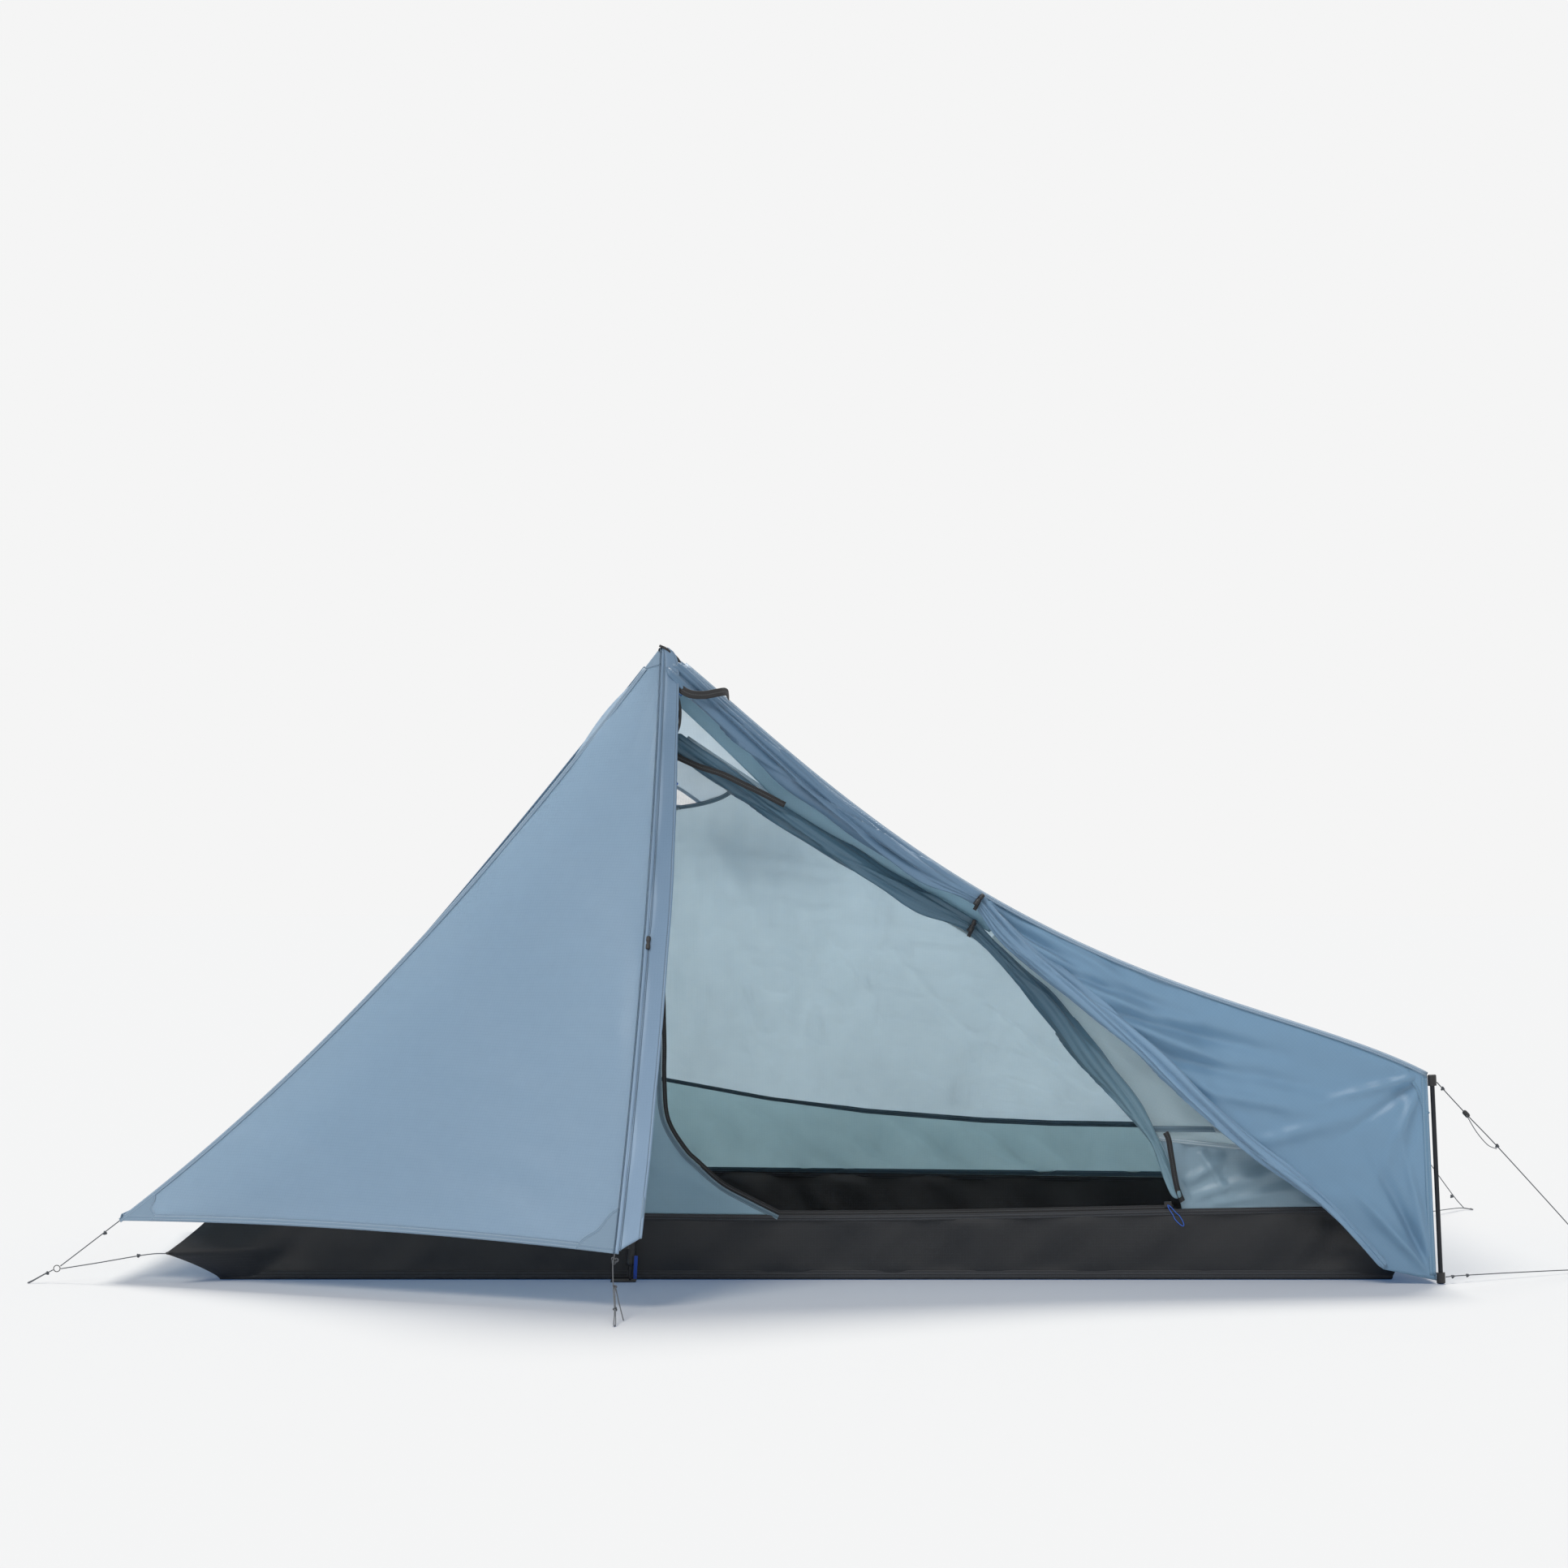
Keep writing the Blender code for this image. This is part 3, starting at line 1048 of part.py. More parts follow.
def lever(name, centre, reach):
    """A lock lever curved round the front of its collar, on a hinge along the pole at its left end."""
    side = unit(np.cross((0.0, -1.0, 0.0), POLE_WAY))
    front = np.cross(POLE_WAY, side)
    turn = np.radians(np.linspace(-48, 62, 9))[:, None]
    path = centre + (front * np.cos(turn) + side * np.sin(turn)) * (reach + 0.0018)
    path = np.vstack([path, path[-1] + unit(path[-1] - path[-2]) * 0.006])
    section = [(-0.0018, -0.009), (0.0018, -0.009), (0.0018, 0.009), (-0.0018, 0.009)]
    radial = np.vstack([front * np.cos(turn) + side * np.sin(turn)] * 1)
    radial = np.vstack([radial, radial[-1]])
    swept(name, path, section, BLACK, front=radial, pivot=path[0])


pole()


def wrist_strap():
    """The grip's webbing loop, hanging in front of it."""
    turn = np.linspace(0, math.tau, 26, endpoint=False)
    top = on_pole(POLE_LENGTH - 0.030)
    middle = np.array([top[0] + 0.012, top[1] - GRIP_DIAMETER / 2 - 0.0045, top[2] - 0.055])
    path = middle + np.stack([0.012 * np.sin(turn), 0 * turn, 0.050 * np.cos(turn)], axis=-1)
    path[:, 1] = on_pole(POLE_LENGTH - 0.085)[1] - GRIP_DIAMETER / 2 - GAP
    radial = np.stack([np.sin(turn) / 0.012, 0 * turn, np.cos(turn) / 0.050], axis=-1)
    swept("wrist_strap", path, strip(0.004, WEBBING * 0.8), TAPE, front=unit(radial), pivot=path[0], hoop=True)


wrist_strap()


def foot_strap():
    """Webbing from the tub's wall under the pole's tip, so that tent and pole stay together."""
    front, back = POLE_FOOT[1] - 0.012, NEAR - GAP
    centre = np.array([POLE_FOOT[0] - 0.012, (front + back) / 2, WEBBING / 2])
    block("foot_strap", centre, (0.046, back - front, WEBBING), TAPE)


foot_strap()


# Two struts stand outside the foot corners, each in a cap at its top and foot
def strut(name, top, low, out):
    """A strut and its two caps beside the foot end's edge."""
    low, top = low + (out, 0, 0), top + (out, 0, 0)
    low[2] = 0.0006
    way = unit(top - low)
    long = float(np.linalg.norm(top - low))
    outer, inner, seat = CAP_DIAMETER / 2, STRUT_DIAMETER / 2 + GAP, CAP_LENGTH - CAP_DEPTH
    cup = [(0, 0), (outer - 0.0015, 0), (outer, 0.0015), (outer, CAP_LENGTH), (inner, CAP_LENGTH), (inner, seat),
           (0, seat)]
    turned(name + "_foot_cap", cup, low, low + way * CAP_LENGTH, BLACK, sides=20)
    turned(name + "_top_cap", cup, top, top - way * CAP_LENGTH, BLACK, sides=20)
    rod = [(0, 0), (STRUT_DIAMETER / 2, 0), (STRUT_DIAMETER / 2, long - 2 * (seat + GAP)),
           (0, long - 2 * (seat + GAP))]
    turned(name, rod, low + way * (seat + GAP), top - way * (seat + GAP), DARK_ALLOY, sides=16)


STRUT_OUT = CAP_DIAMETER / 2 + GAP * 2
strut("near_strut", FOOT_NEAR.copy(), FOOT_NEAR_LOW.copy(), STRUT_OUT)
strut("far_strut", FOOT_FAR.copy(), FOOT_FAR_LOW.copy(), STRUT_OUT)


# Guylines. Each runs from its corner to a ring or to its stake's place on the ground, and ends in a loop.
GROUND = CORD / 2 + 0.0006
LEFT_RING = np.array([-1.3598, -0.4750, 0.0246])
cord("left_line", [HEAD_NEAR + (-0.0006, -0.0002, -0.0002), (-1.306, -0.456, 0.066),
                   LEFT_RING + (0.0062, 0.001, 0.0042)], CORD, CORD_GREY, 14)
cord("left_floor_line", [(-1.1520, -0.5170, 0.0560), (-1.190, -0.5110, 0.0535), (-1.285, -0.4900, 0.0360),
                         LEFT_RING + (0.0070, 0.002, -0.0006)], CORD, CORD_GREY, 14)
cord("left_stake_loop", [LEFT_RING + (-0.0068, -0.001, -0.0024), (-1.385, -0.4890, 0.0125),
                         (-1.404, -0.5010, GROUND), (-1.4075, -0.4970, GROUND), (-1.400, -0.4900, 0.0050),
                         (-1.380, -0.4790, 0.0160)], CORD, CORD_GREY, 22)
cord("front_line", [PORCH + (0, -0.0003, -0.0003), (-0.3290, -0.9600, 0.0800), (-0.3255, -1.0200, 0.0480), (-0.3205, -1.1000, 0.0170),
                    (-0.3190, -1.1600, 0.0040), (-0.3165, -1.1801, GROUND), (-0.3130, -1.1600, 0.0040),
                    (-0.3120, -1.1008, 0.0120), (-0.3180, -1.0300, 0.0400), (-0.3240, -0.9600, 0.0680)],
     CORD, CORD_GREY, 44)
NEAR_HOOK = np.array([FOOT_NEAR[0] + STRUT_OUT + CAP_DIAMETER / 2 + 0.0016, -0.5030, 0.3640])
NEAR_STAKE = np.array([1.5047, -0.2724, GROUND])
FAR_STAKE = np.array([1.4775, 1.0107, GROUND])
cord("near_line", [NEAR_HOOK, (1.1950, -0.4690, 0.3090), (1.2611, -0.4300, 0.2450), (1.3830, -0.3500, 0.1220),
                   (1.4870, -0.2840, 0.0150), NEAR_STAKE, (1.5030, -0.2650, GROUND), (1.4930, -0.2690, 0.0030),
                   (1.3400, -0.3740, 0.0085), (1.1917, -0.4750, 0.0120),
                   (FOOT_NEAR_LOW[0] + STRUT_OUT + CAP_DIAMETER / 2 + 0.0014, -0.5010, 0.0120)],
     CORD, CORD_GREY, 76)
cord("near_slack_loop", [(1.1990, -0.4720, 0.3030), (1.2171, -0.4740, 0.2724), (1.2400, -0.4590, 0.2480),
                         (1.2600, -0.4380, 0.2390)], FINE_CORD, CORD_GREY, 16)
cord("far_line", [(FOOT_FAR[0] + STRUT_OUT + 0.0055, FOOT_FAR[1] + 0.0076, 0.3640), (1.2500, 0.7300, 0.2430),
                  (1.4433, 1.0092, 0.0200), (1.4740, 1.0150, 0.0030), FAR_STAKE, (1.4740, 1.0040, GROUND),
                  (1.4433, 0.9940, 0.0060), (1.3200, 0.8000, 0.0110),
                  (FOOT_FAR_LOW[0] + STRUT_OUT + 0.0055, FOOT_FAR[1] + 0.0076, 0.0120)], CORD, CORD_GREY, 76)


def ring(name, centre, across, front, finish, radius=0.0058, wire=0.0008):
    """A small round ring facing front."""
    turn = np.linspace(0, math.tau, 20, endpoint=False)[:, None]
    up = np.cross(front, across)
    radial = np.asarray(across) * np.cos(turn) + up * np.sin(turn)
    section = roll_section(np.full(20, wire), np.full(20, wire), sides=8, fold=0.0)
    swept(name, np.asarray(centre) + radial * radius, section, finish, front=radial, hoop=True, pivot=centre)


ring("left_ring", LEFT_RING, unit((-1, -0.35, -0.9)), unit((0.2, -1, 0.2)), BLACK)


def tensioner():
    """The near guyline's small sleeve, free to slide along its cord."""
    way = unit(np.array([1.1950, -0.4690, 0.3090]) - np.array([1.2611, -0.4300, 0.2450]))
    low = np.array([1.1950, -0.4690, 0.3090]) - way * 0.014
    bore, outer, long = CORD / 2 + GAP * 2.4, 0.0045, 0.014
    profile = [(bore, 0), (outer * 0.8, 0), (outer, 0.002), (outer, long - 0.002), (outer * 0.8, long), (bore, long)]
    turned("near_tensioner", profile, low, low + way * long, BLACK, sides=14, hollow=True, pivot=low)


tensioner()
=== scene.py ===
import math

import bpy
import numpy as np
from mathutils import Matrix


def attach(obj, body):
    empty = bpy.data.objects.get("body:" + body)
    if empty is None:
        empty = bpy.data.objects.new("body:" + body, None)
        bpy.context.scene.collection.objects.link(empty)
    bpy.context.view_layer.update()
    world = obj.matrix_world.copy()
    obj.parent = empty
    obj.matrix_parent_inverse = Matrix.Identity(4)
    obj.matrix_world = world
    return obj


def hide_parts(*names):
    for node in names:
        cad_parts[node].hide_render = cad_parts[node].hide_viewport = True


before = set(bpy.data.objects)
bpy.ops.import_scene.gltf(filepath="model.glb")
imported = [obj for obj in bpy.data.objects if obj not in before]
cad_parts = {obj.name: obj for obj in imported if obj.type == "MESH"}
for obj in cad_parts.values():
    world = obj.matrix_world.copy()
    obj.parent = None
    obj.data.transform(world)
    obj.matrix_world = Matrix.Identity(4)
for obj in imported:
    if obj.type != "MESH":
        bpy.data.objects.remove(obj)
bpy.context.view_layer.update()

# The camera stands level in front of the doors, at the photograph's height and distance. A soft lamp
# behind the tent shines through its cloth, one fills from the front left, and the pale room lights the
# rest.
lens = bpy.data.cameras.new("camera")
lens.lens, lens.sensor_width, lens.shift_y = 88.04, 36.0, 0.0569
camera = bpy.data.objects.new("camera", lens)
camera.location, camera.rotation_euler = (-0.04, -7.435, 0.742), (math.pi / 2, 0, 0)
bpy.context.collection.objects.link(camera)
bpy.context.scene.camera = camera
bpy.context.scene.view_settings.view_transform = "Standard"


def lamp(name, strength, wide, lean, turn):
    """A lamp far away: lean is its angle from straight above, turn its bearing from the front."""
    light = bpy.data.lights.new(name, "SUN")
    light.energy, light.angle = strength, math.radians(wide)
    made = bpy.data.objects.new(name, light)
    made.rotation_euler = (math.radians(lean), 0, math.radians(turn))
    bpy.context.collection.objects.link(made)


lamp("key_lamp", 3.5, 24, 35, 172)
lamp("fill_lamp", 1.50, 24, 41, -34)


class Wire:
    """One value of a shader: a node's output. Sums and products of wires and numbers add Math nodes."""

    def __init__(self, tree, socket=None):
        self.tree, self.socket = tree, socket

    def node(self, kind, settings=None, sockets=None, out=0):
        """A new node: its settings come first, then each socket's value or link."""
        made = self.tree.nodes.new("ShaderNode" + kind)
        for name, value in (settings or {}).items():
            if name == "stops":
                ramp = made.color_ramp.elements
                while len(ramp) < len(value):
                    ramp.new(0.5)
                for stop, (place, colour) in zip(ramp, value):
                    stop.position, stop.color = place, (*colour, 1.0)
            else:
                setattr(made, name, value)
        for name, value in (sockets or {}).items():
            if isinstance(value, Wire):
                self.tree.links.new(value.socket, made.inputs[name])
            else:
                made.inputs[name].default_value = value
        return Wire(self.tree, made.outputs[out] if len(made.outputs) else None)

    def beside(self, out):
        """Another output of the same node."""
        return Wire(self.tree, self.socket.node.outputs[out])

    def math(self, operation, *values):
        return self.node("Math", {"operation": operation}, dict(enumerate(values)))

    def __add__(self, other):
        return self.math("ADD", self, other)

    def __sub__(self, other):
        return self.math("SUBTRACT", self, other)

    def __rsub__(self, other):
        return self.math("SUBTRACT", other, self)

    def __mul__(self, other):
        return self.math("MULTIPLY", self, other)

    def __truediv__(self, other):
        return self.math("DIVIDE", self, other)

    __radd__, __rmul__ = __add__, __mul__


def linear(*shown):
    """A shader's colour from the sRGB bytes that it should show."""
    return tuple(((byte / 255 + 0.055) / 1.055) ** 2.4 for byte in shown)


def shader_of(owner):
    """The start of an empty shader for a material or the world."""
    owner.use_nodes = True
    owner.node_tree.nodes.clear()
    return Wire(owner.node_tree)


def new_material(name):
    """A material and the start of its empty shader."""
    made = bpy.data.materials.new(name)
    return made, shader_of(made)


def blend(share, first, second):
    """A colour that goes from first to second as share goes from zero to one."""
    ends = [end if isinstance(end, Wire) else (*end, 1.0) for end in (first, second)]
    return share.node("Mix", {"data_type": "RGBA"}, {0: share, 6: ends[0], 7: ends[1]}, out=2)


# The room is a white sweep. The camera sees it evenly pale, and its floor keeps the tent's shadow: the
# floor glows with what its paint lacks of the room's tone under the light that falls on open floor.
ROOM = 0.9131
FLOOR_PAINT = np.array((0.515, 0.495, 0.450))
FLOOR_LIT = 1.746


def seen_by_eye(root):
    """One on rays from the camera, from gloss and through cloth, and zero on rays that light the tent."""
    rays = root.node("LightPath")
    return rays.math("MAXIMUM", rays, rays.math("MAXIMUM", rays.beside("Is Glossy Ray"),
                                                rays.beside("Is Transmission Ray")))


world = bpy.data.worlds.new("room")
bpy.context.scene.world = world
root = shader_of(world)
lit = root.node("Background", sockets={"Color": (0.97, 0.985, 1.0, 1.0), "Strength": 0.48})
sweep = root.node("Background", sockets={"Color": (1.0, 1.0, 1.0, 1.0), "Strength": ROOM})
mixed = root.node("MixShader", sockets={0: seen_by_eye(root), 1: lit, 2: sweep})
root.node("OutputWorld", sockets={"Surface": mixed})

paint, root = new_material("floor_paint")
plain = root.node("BsdfDiffuse", sockets={"Color": (0.80, 0.80, 0.80, 1.0)})
shaded = root.node("BsdfDiffuse", sockets={"Color": (*FLOOR_PAINT, 1.0)})
even = root.node("Emission", sockets={"Color": (*(ROOM - FLOOR_PAINT * FLOOR_LIT), 1.0), "Strength": 1.0})
shown = root.node("AddShader", sockets={0: shaded, 1: even})
mixed = root.node("MixShader", sockets={0: seen_by_eye(root), 1: plain, 2: shown})
root.node("OutputMaterial", sockets={"Surface": mixed})
ground = bpy.data.meshes.new("floor")
FLOOR_REACH, FLOOR_LEVEL = 60, -0.0004
ground.from_pydata([(x * FLOOR_REACH, y * FLOOR_REACH, FLOOR_LEVEL) for x, y in ((-1, -1), (1, -1), (1, 1), (-1, 1))],
                   [], [(0, 1, 2, 3)])
ground.materials.append(paint)
floor = bpy.data.objects.new("floor", ground)
bpy.context.collection.objects.link(floor)


# Guylines: grey braided cord of 2 mm, knotted at the fly's corners and at the loops for the stakes.
# Each runs taut to where its stake would stand, and the slack ones lie in low bows on the floor. The
# struts stand a little outside the fly's corners, in caps of 16 mm.
CORD, FINE_CORD = 0.0020, 0.0016
PEAK = np.array((-0.262, -0.475, 1.153))
HEAD_NEAR, HEAD_FAR = np.array((-1.252, -0.435, 0.108)), np.array((-1.252, 0.580, 0.108))
PORCH = np.array((-0.327, -0.935, 0.097))
FOOT_NEAR, FOOT_FAR = np.array((1.122, -0.505, 0.378)), np.array((1.122, 0.565, 0.378))
FOOT_NEAR_LOW, FOOT_FAR_LOW = np.array((1.139, -0.505, 0.006)), np.array((1.139, 0.565, 0.006))
STRUT_OUT, CAP_HALF = 0.0086, 0.0080
FRONT, UP = np.array([0.0, -1.0, 0.0]), np.array([0.0, 0.0, 1.0])


def unit(vector):
    """The vector at length one."""
    vector = np.asarray(vector, float)
    return vector / np.linalg.norm(vector, axis=-1, keepdims=True)


def along(path):
    """Length along a path to each of its points."""
    return np.concatenate([[0.0], np.cumsum(np.linalg.norm(np.diff(path, axis=0), axis=1))])


def through(points):
    """A smooth curve through route points, by Catmull and Rom's cubic, at shares of their chord length."""
    points = np.asarray(points, float)
    ends = np.vstack([2 * points[0] - points[1], points, 2 * points[-1] - points[-2]])
    steps = np.linalg.norm(np.diff(points, axis=0), axis=1)
    marks = np.concatenate([[0], np.cumsum(steps)]) / steps.sum()

    def at(share):
        share = np.clip(np.asarray(share, float), 0, 1)
        piece = np.clip(np.searchsorted(marks, share, side="right") - 1, 0, len(steps) - 1)
        t = ((share - marks[piece]) / (marks[piece + 1] - marks[piece]))[..., None]
        a, b, c, d = (ends[piece + k] for k in range(4))
        return 0.5 * (2 * b + (c - a) * t + (2 * a - 5 * b + 4 * c - d) * t ** 2
                      + (3 * b - a - 3 * c + d) * t ** 3)
    return at


def carried(path, section, front=FRONT, hoop=False):
    """A section carried along a path, as a grid: at each point, path + front * first + up * second.

    front is turned square to the path, and up is the cross product of front and the path's way.
    """
    path, section = np.asarray(path, float), np.asarray(section, float)
    ahead = unit(np.roll(path, -1, 0) - np.roll(path, 1, 0) if hoop else np.gradient(path, axis=0))
    front = np.broadcast_to(np.asarray(front, float), path.shape)
    front = unit(front - ahead * (front * ahead).sum(1, keepdims=True))
    section = np.broadcast_to(section, (len(path), *section.shape[-2:]))
    return path[:, None] + section[..., :1] * front[:, None] + section[..., 1:] * np.cross(front, ahead)[:, None]


def mesh_over(name, grid, uv, finish, keep=None, closed=False, hoop=False, centre=None, capped=True):
    """A mesh with one face for each kept cell of a grid, and its UV in metres.

    A closed grid's last column meets its first, a hoop's last row too, and a capped closed grid that is
    no hoop gets two end faces. Its faces are turned to point away from centre, or out of a closed grid.
    """
    rows, cols = grid.shape[:2]
    number = np.arange(rows * cols).reshape(rows, cols)
    number = np.concatenate([number, number[:, :1]], axis=1) if closed else number
    number = np.concatenate([number, number[:1]]) if hoop else number
    spots = np.arange(uv.shape[0] * uv.shape[1]).reshape(uv.shape[:2])
    cells, places = (np.stack([n[:-1, :-1], n[:-1, 1:], n[1:, 1:], n[1:, :-1]], axis=-1) for n in (number, spots))
    keep = np.ones(cells.shape[:2], bool) if keep is None else keep
    cells, places = cells[keep], places[keep]
    points = grid.reshape(-1, 3)
    a, b, c, d = (points[cells[:, k]] for k in range(4))
    way = np.cross(c - a, d - b)
    out = a - (grid.mean(axis=1)[cells[:, 0] // cols] if centre is None else centre)
    first, last = np.arange(cols)[::-1], np.arange(cols) + (rows - 1) * cols
    ends = [first, last] if closed and capped and not hoop else []
    if (way * out).sum() < 0:
        cells, places, ends = cells[:, ::-1], places[:, ::-1], [end[::-1] for end in ends]
    faces = cells.tolist() + [end.tolist() for end in ends]
    corners = [places.ravel()] + [end + end // cols for end in ends]
    used, numbers = np.unique(np.concatenate([np.ravel(face) for face in faces]), return_inverse=True)
    sizes = np.array([len(face) for face in faces])
    mesh = bpy.data.meshes.new(name)
    mesh.vertices.add(len(used))
    mesh.vertices.foreach_set("co", points[used].ravel())
    mesh.loops.add(len(numbers))
    mesh.loops.foreach_set("vertex_index", numbers.astype(np.int32))
    mesh.polygons.add(len(sizes))
    mesh.polygons.foreach_set("loop_start", (np.cumsum(sizes) - sizes).astype(np.int32))
    mesh.update(calc_edges=True)
    layer = mesh.uv_layers.new(name="UVMap")
    layer.data.foreach_set("uv", uv.reshape(-1, 2)[np.concatenate(corners)].ravel())
    mesh.shade_smooth()
    mesh.materials.append(finish)
    made = bpy.data.objects.new(name, mesh)
    bpy.context.collection.objects.link(made)
    return made


def dress(piece, body, slot, *nodes):
    """The piece rides on a body and stands for these CAD nodes, which it hides. slot is not used."""
    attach(piece, body)
    if nodes:
        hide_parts(*nodes)
    return piece


def round_uv(path, sides, girth, hoop=False):
    """UV of a carried section in metres: first the length along, then the way round."""
    far = along(np.vstack([path, path[:1]]) if hoop else path)
    return np.stack(np.meshgrid(far, np.linspace(0, girth, sides + 1), indexing="ij"), axis=-1)


def tube(name, path, radius, finish, sides=10, hoop=False, front=FRONT):
    """A round tube along a path: the section radius (front cos a + up sin a)."""
    turn = np.arange(sides) / sides * math.tau
    grid = carried(path, radius * np.stack([np.cos(turn), np.sin(turn)], axis=-1), front, hoop)
    return mesh_over(name, grid, round_uv(path, sides, math.tau * radius, hoop), finish, closed=True, hoop=hoop)


def braid(name, shown, light):
    """Braided cord: two sets of slanting strands that cross, from its UV, and a fine fuzz in its colour."""
    made, root = new_material(name)
    far = root.node("SeparateXYZ", sockets={0: root.node("UVMap", {"uv_map": "UVMap"})})
    pitch, girth = 0.0026, 0.0021
    left = root.math("SINE", (far / pitch + far.beside(1) / girth) * math.tau)
    right = root.math("SINE", (far / pitch - far.beside(1) / girth) * math.tau)
    strands = left.math("MAXIMUM", left, right) * 0.5 + 0.5
    place = root.node("TexCoord", out="Object")
    fuzz = root.node("TexNoise", sockets={"Vector": place, "Scale": 900.0, "Detail": 3.0})
    # Painted shade and highlight: the colour is darker between the strands and paler on their crests. The fuzz adds
    # random tone.
    colour = blend(strands * 0.75 + fuzz * 0.25, linear(*shown), linear(*light))
    raised = root.node("Bump", sockets={"Strength": 0.6, "Distance": 0.0003, "Height": strands + fuzz * 0.3})
    braided = root.node("BsdfPrincipled", sockets={"Base Color": colour, "Roughness": 0.78, "Normal": raised,
                                                   "Sheen Weight": 0.2})
    root.node("OutputMaterial", sockets={"Surface": braided})
    return made


GUYLINE = braid("guyline_braid", (44, 47, 52), (88, 92, 98))
COBALT = braid("cobalt_braid", (24, 70, 170), (60, 118, 214))


def knot(name, centre, size, finish, turn=0.0):
    """A tight overhand knot: a trefoil line, (sin t + 2 sin 2t, -1.3 sin 3t, cos t - 2 cos 2t) size / 3."""
    t = np.linspace(0, math.tau, 54, endpoint=False)
    line = np.stack([np.sin(t) + 2 * np.sin(2 * t), -1.3 * np.sin(3 * t), np.cos(t) - 2 * np.cos(2 * t)], axis=-1)
    c, s = math.cos(turn), math.sin(turn)
    turned = line @ np.array([[c, 0, -s], [0, 1, 0], [s, 0, c]])
    made = tube(name, np.asarray(centre) + turned * size / 3, 0.0011, finish, sides=8, hoop=True, front=(0, 0, 1))
    return dress(made, "tent", "guyline" if finish is GUYLINE else "cobalt_cord")


def route(places, count):
    """A smooth line of count points through places."""
    return through(places)(np.linspace(0, 1, count))


def guyline(name, places, count, knots=(), diameter=CORD):
    """A cord through its places, never lower than its own radius."""
    line = route(places, count)
    line[:, 2] = np.maximum(line[:, 2], diameter / 2 + 0.0003)
    made = dress(tube(name + "_cord", line, diameter / 2, GUYLINE), "tent", "guyline", name)
    return made


on_floor = CORD / 2 + 0.0006
left_ring = np.array((-1.3598, -0.4750, 0.0246))
guyline("left_line", [HEAD_NEAR + (-0.0006, -0.0002, -0.0002), (-1.306, -0.456, 0.066),
                      left_ring + (0.0062, 0.001, 0.0042)], 28,
        [knot("left_corner_knot", HEAD_NEAR + (-0.026, -0.009, -0.022), 0.0032, GUYLINE, 0.8)])
guyline("left_floor_line", [(-1.1520, -0.5170, 0.0560), (-1.190, -0.5110, 0.0535), (-1.285, -0.4900, 0.0360),
                            left_ring + (0.0070, 0.002, -0.0006)], 28,
        [knot("left_floor_knot", (-1.206, -0.5080, 0.0513), 0.0030, GUYLINE, 0.2)])
guyline("left_stake_loop", [left_ring + (-0.0068, -0.001, -0.0024), (-1.385, -0.4890, 0.0125),
                            (-1.404, -0.5010, on_floor), (-1.4075, -0.4970, on_floor),
                            (-1.400, -0.4900, 0.0050), (-1.380, -0.4790, 0.0160)], 44,
        [knot("left_loop_knot", (-1.3760, -0.4815, 0.0168), 0.0028, GUYLINE, 1.2)])
guyline("front_line", [PORCH + (0, -0.0003, -0.0003), (-0.3290, -0.9600, 0.0800), (-0.3255, -1.0200, 0.0480),
                       (-0.3205, -1.0900, 0.0200), (-0.3190, -1.1500, 0.0040), (-0.3172, -1.1640, on_floor),
                       (-0.3160, -1.1480, 0.0040), (-0.3190, -1.0900, 0.0190), (-0.3225, -1.0200, 0.0490),
                       (-0.3150, -1.0480, 0.0270), (-0.3060, -1.0840, on_floor)], 96,
        [knot("front_line_knot", (-0.3235, -1.0150, 0.0495), 0.0034, GUYLINE, 0.4),
         knot("front_loop_knot", (-0.3195, -1.0870, 0.0205), 0.0032, GUYLINE, 1.4)])
guyline("near_line", [(FOOT_NEAR[0] + STRUT_OUT + CAP_HALF + 0.0016, -0.5030, 0.3640), (1.1950, -0.4690, 0.3090),
                      (1.2611, -0.4300, 0.2450), (1.3830, -0.3500, 0.1220), (1.4870, -0.2840, 0.0150),
                      (1.5047, -0.2724, on_floor), (1.5030, -0.2650, on_floor), (1.4930, -0.2690, 0.0030),
                      (1.3400, -0.3740, 0.0085), (1.1917, -0.4750, 0.0120),
                      (FOOT_NEAR_LOW[0] + STRUT_OUT + CAP_HALF + 0.0014, -0.5010, 0.0120)], 152,
        [knot("near_hook_knot", (1.1520, -0.4955, 0.3520), 0.0032, GUYLINE, 0.9),
         knot("near_slack_knot", (1.2630, -0.4290, 0.2435), 0.0034, GUYLINE, 0.9),
         knot("near_foot_knot", (1.1720, -0.4850, 0.0110), 0.0028, GUYLINE, 0.1),
         knot("near_floor_knot", (1.2020, -0.4670, 0.0112), 0.0028, GUYLINE, 0.3)])
guyline("near_slack_loop", [(1.1990, -0.4720, 0.3030), (1.2171, -0.4740, 0.2724), (1.2400, -0.4590, 0.2480),
                            (1.2600, -0.4380, 0.2390)], 32, diameter=FINE_CORD)
guyline("far_line", [(FOOT_FAR[0] + STRUT_OUT + 0.0055, FOOT_FAR[1] + 0.0076, 0.3640), (1.2500, 0.7300, 0.2430),
                     (1.4433, 1.0092, 0.0200), (1.4740, 1.0150, 0.0030), (1.4775, 1.0107, on_floor),
                     (1.4740, 1.0040, on_floor), (1.4433, 0.9940, 0.0060), (1.3200, 0.8000, 0.0110),
                     (FOOT_FAR_LOW[0] + STRUT_OUT + 0.0055, FOOT_FAR[1] + 0.0076, 0.0120)], 152,
        [knot("far_loop_knot", (1.4250, 0.9780, 0.0330), 0.0034, GUYLINE, 0.7)])


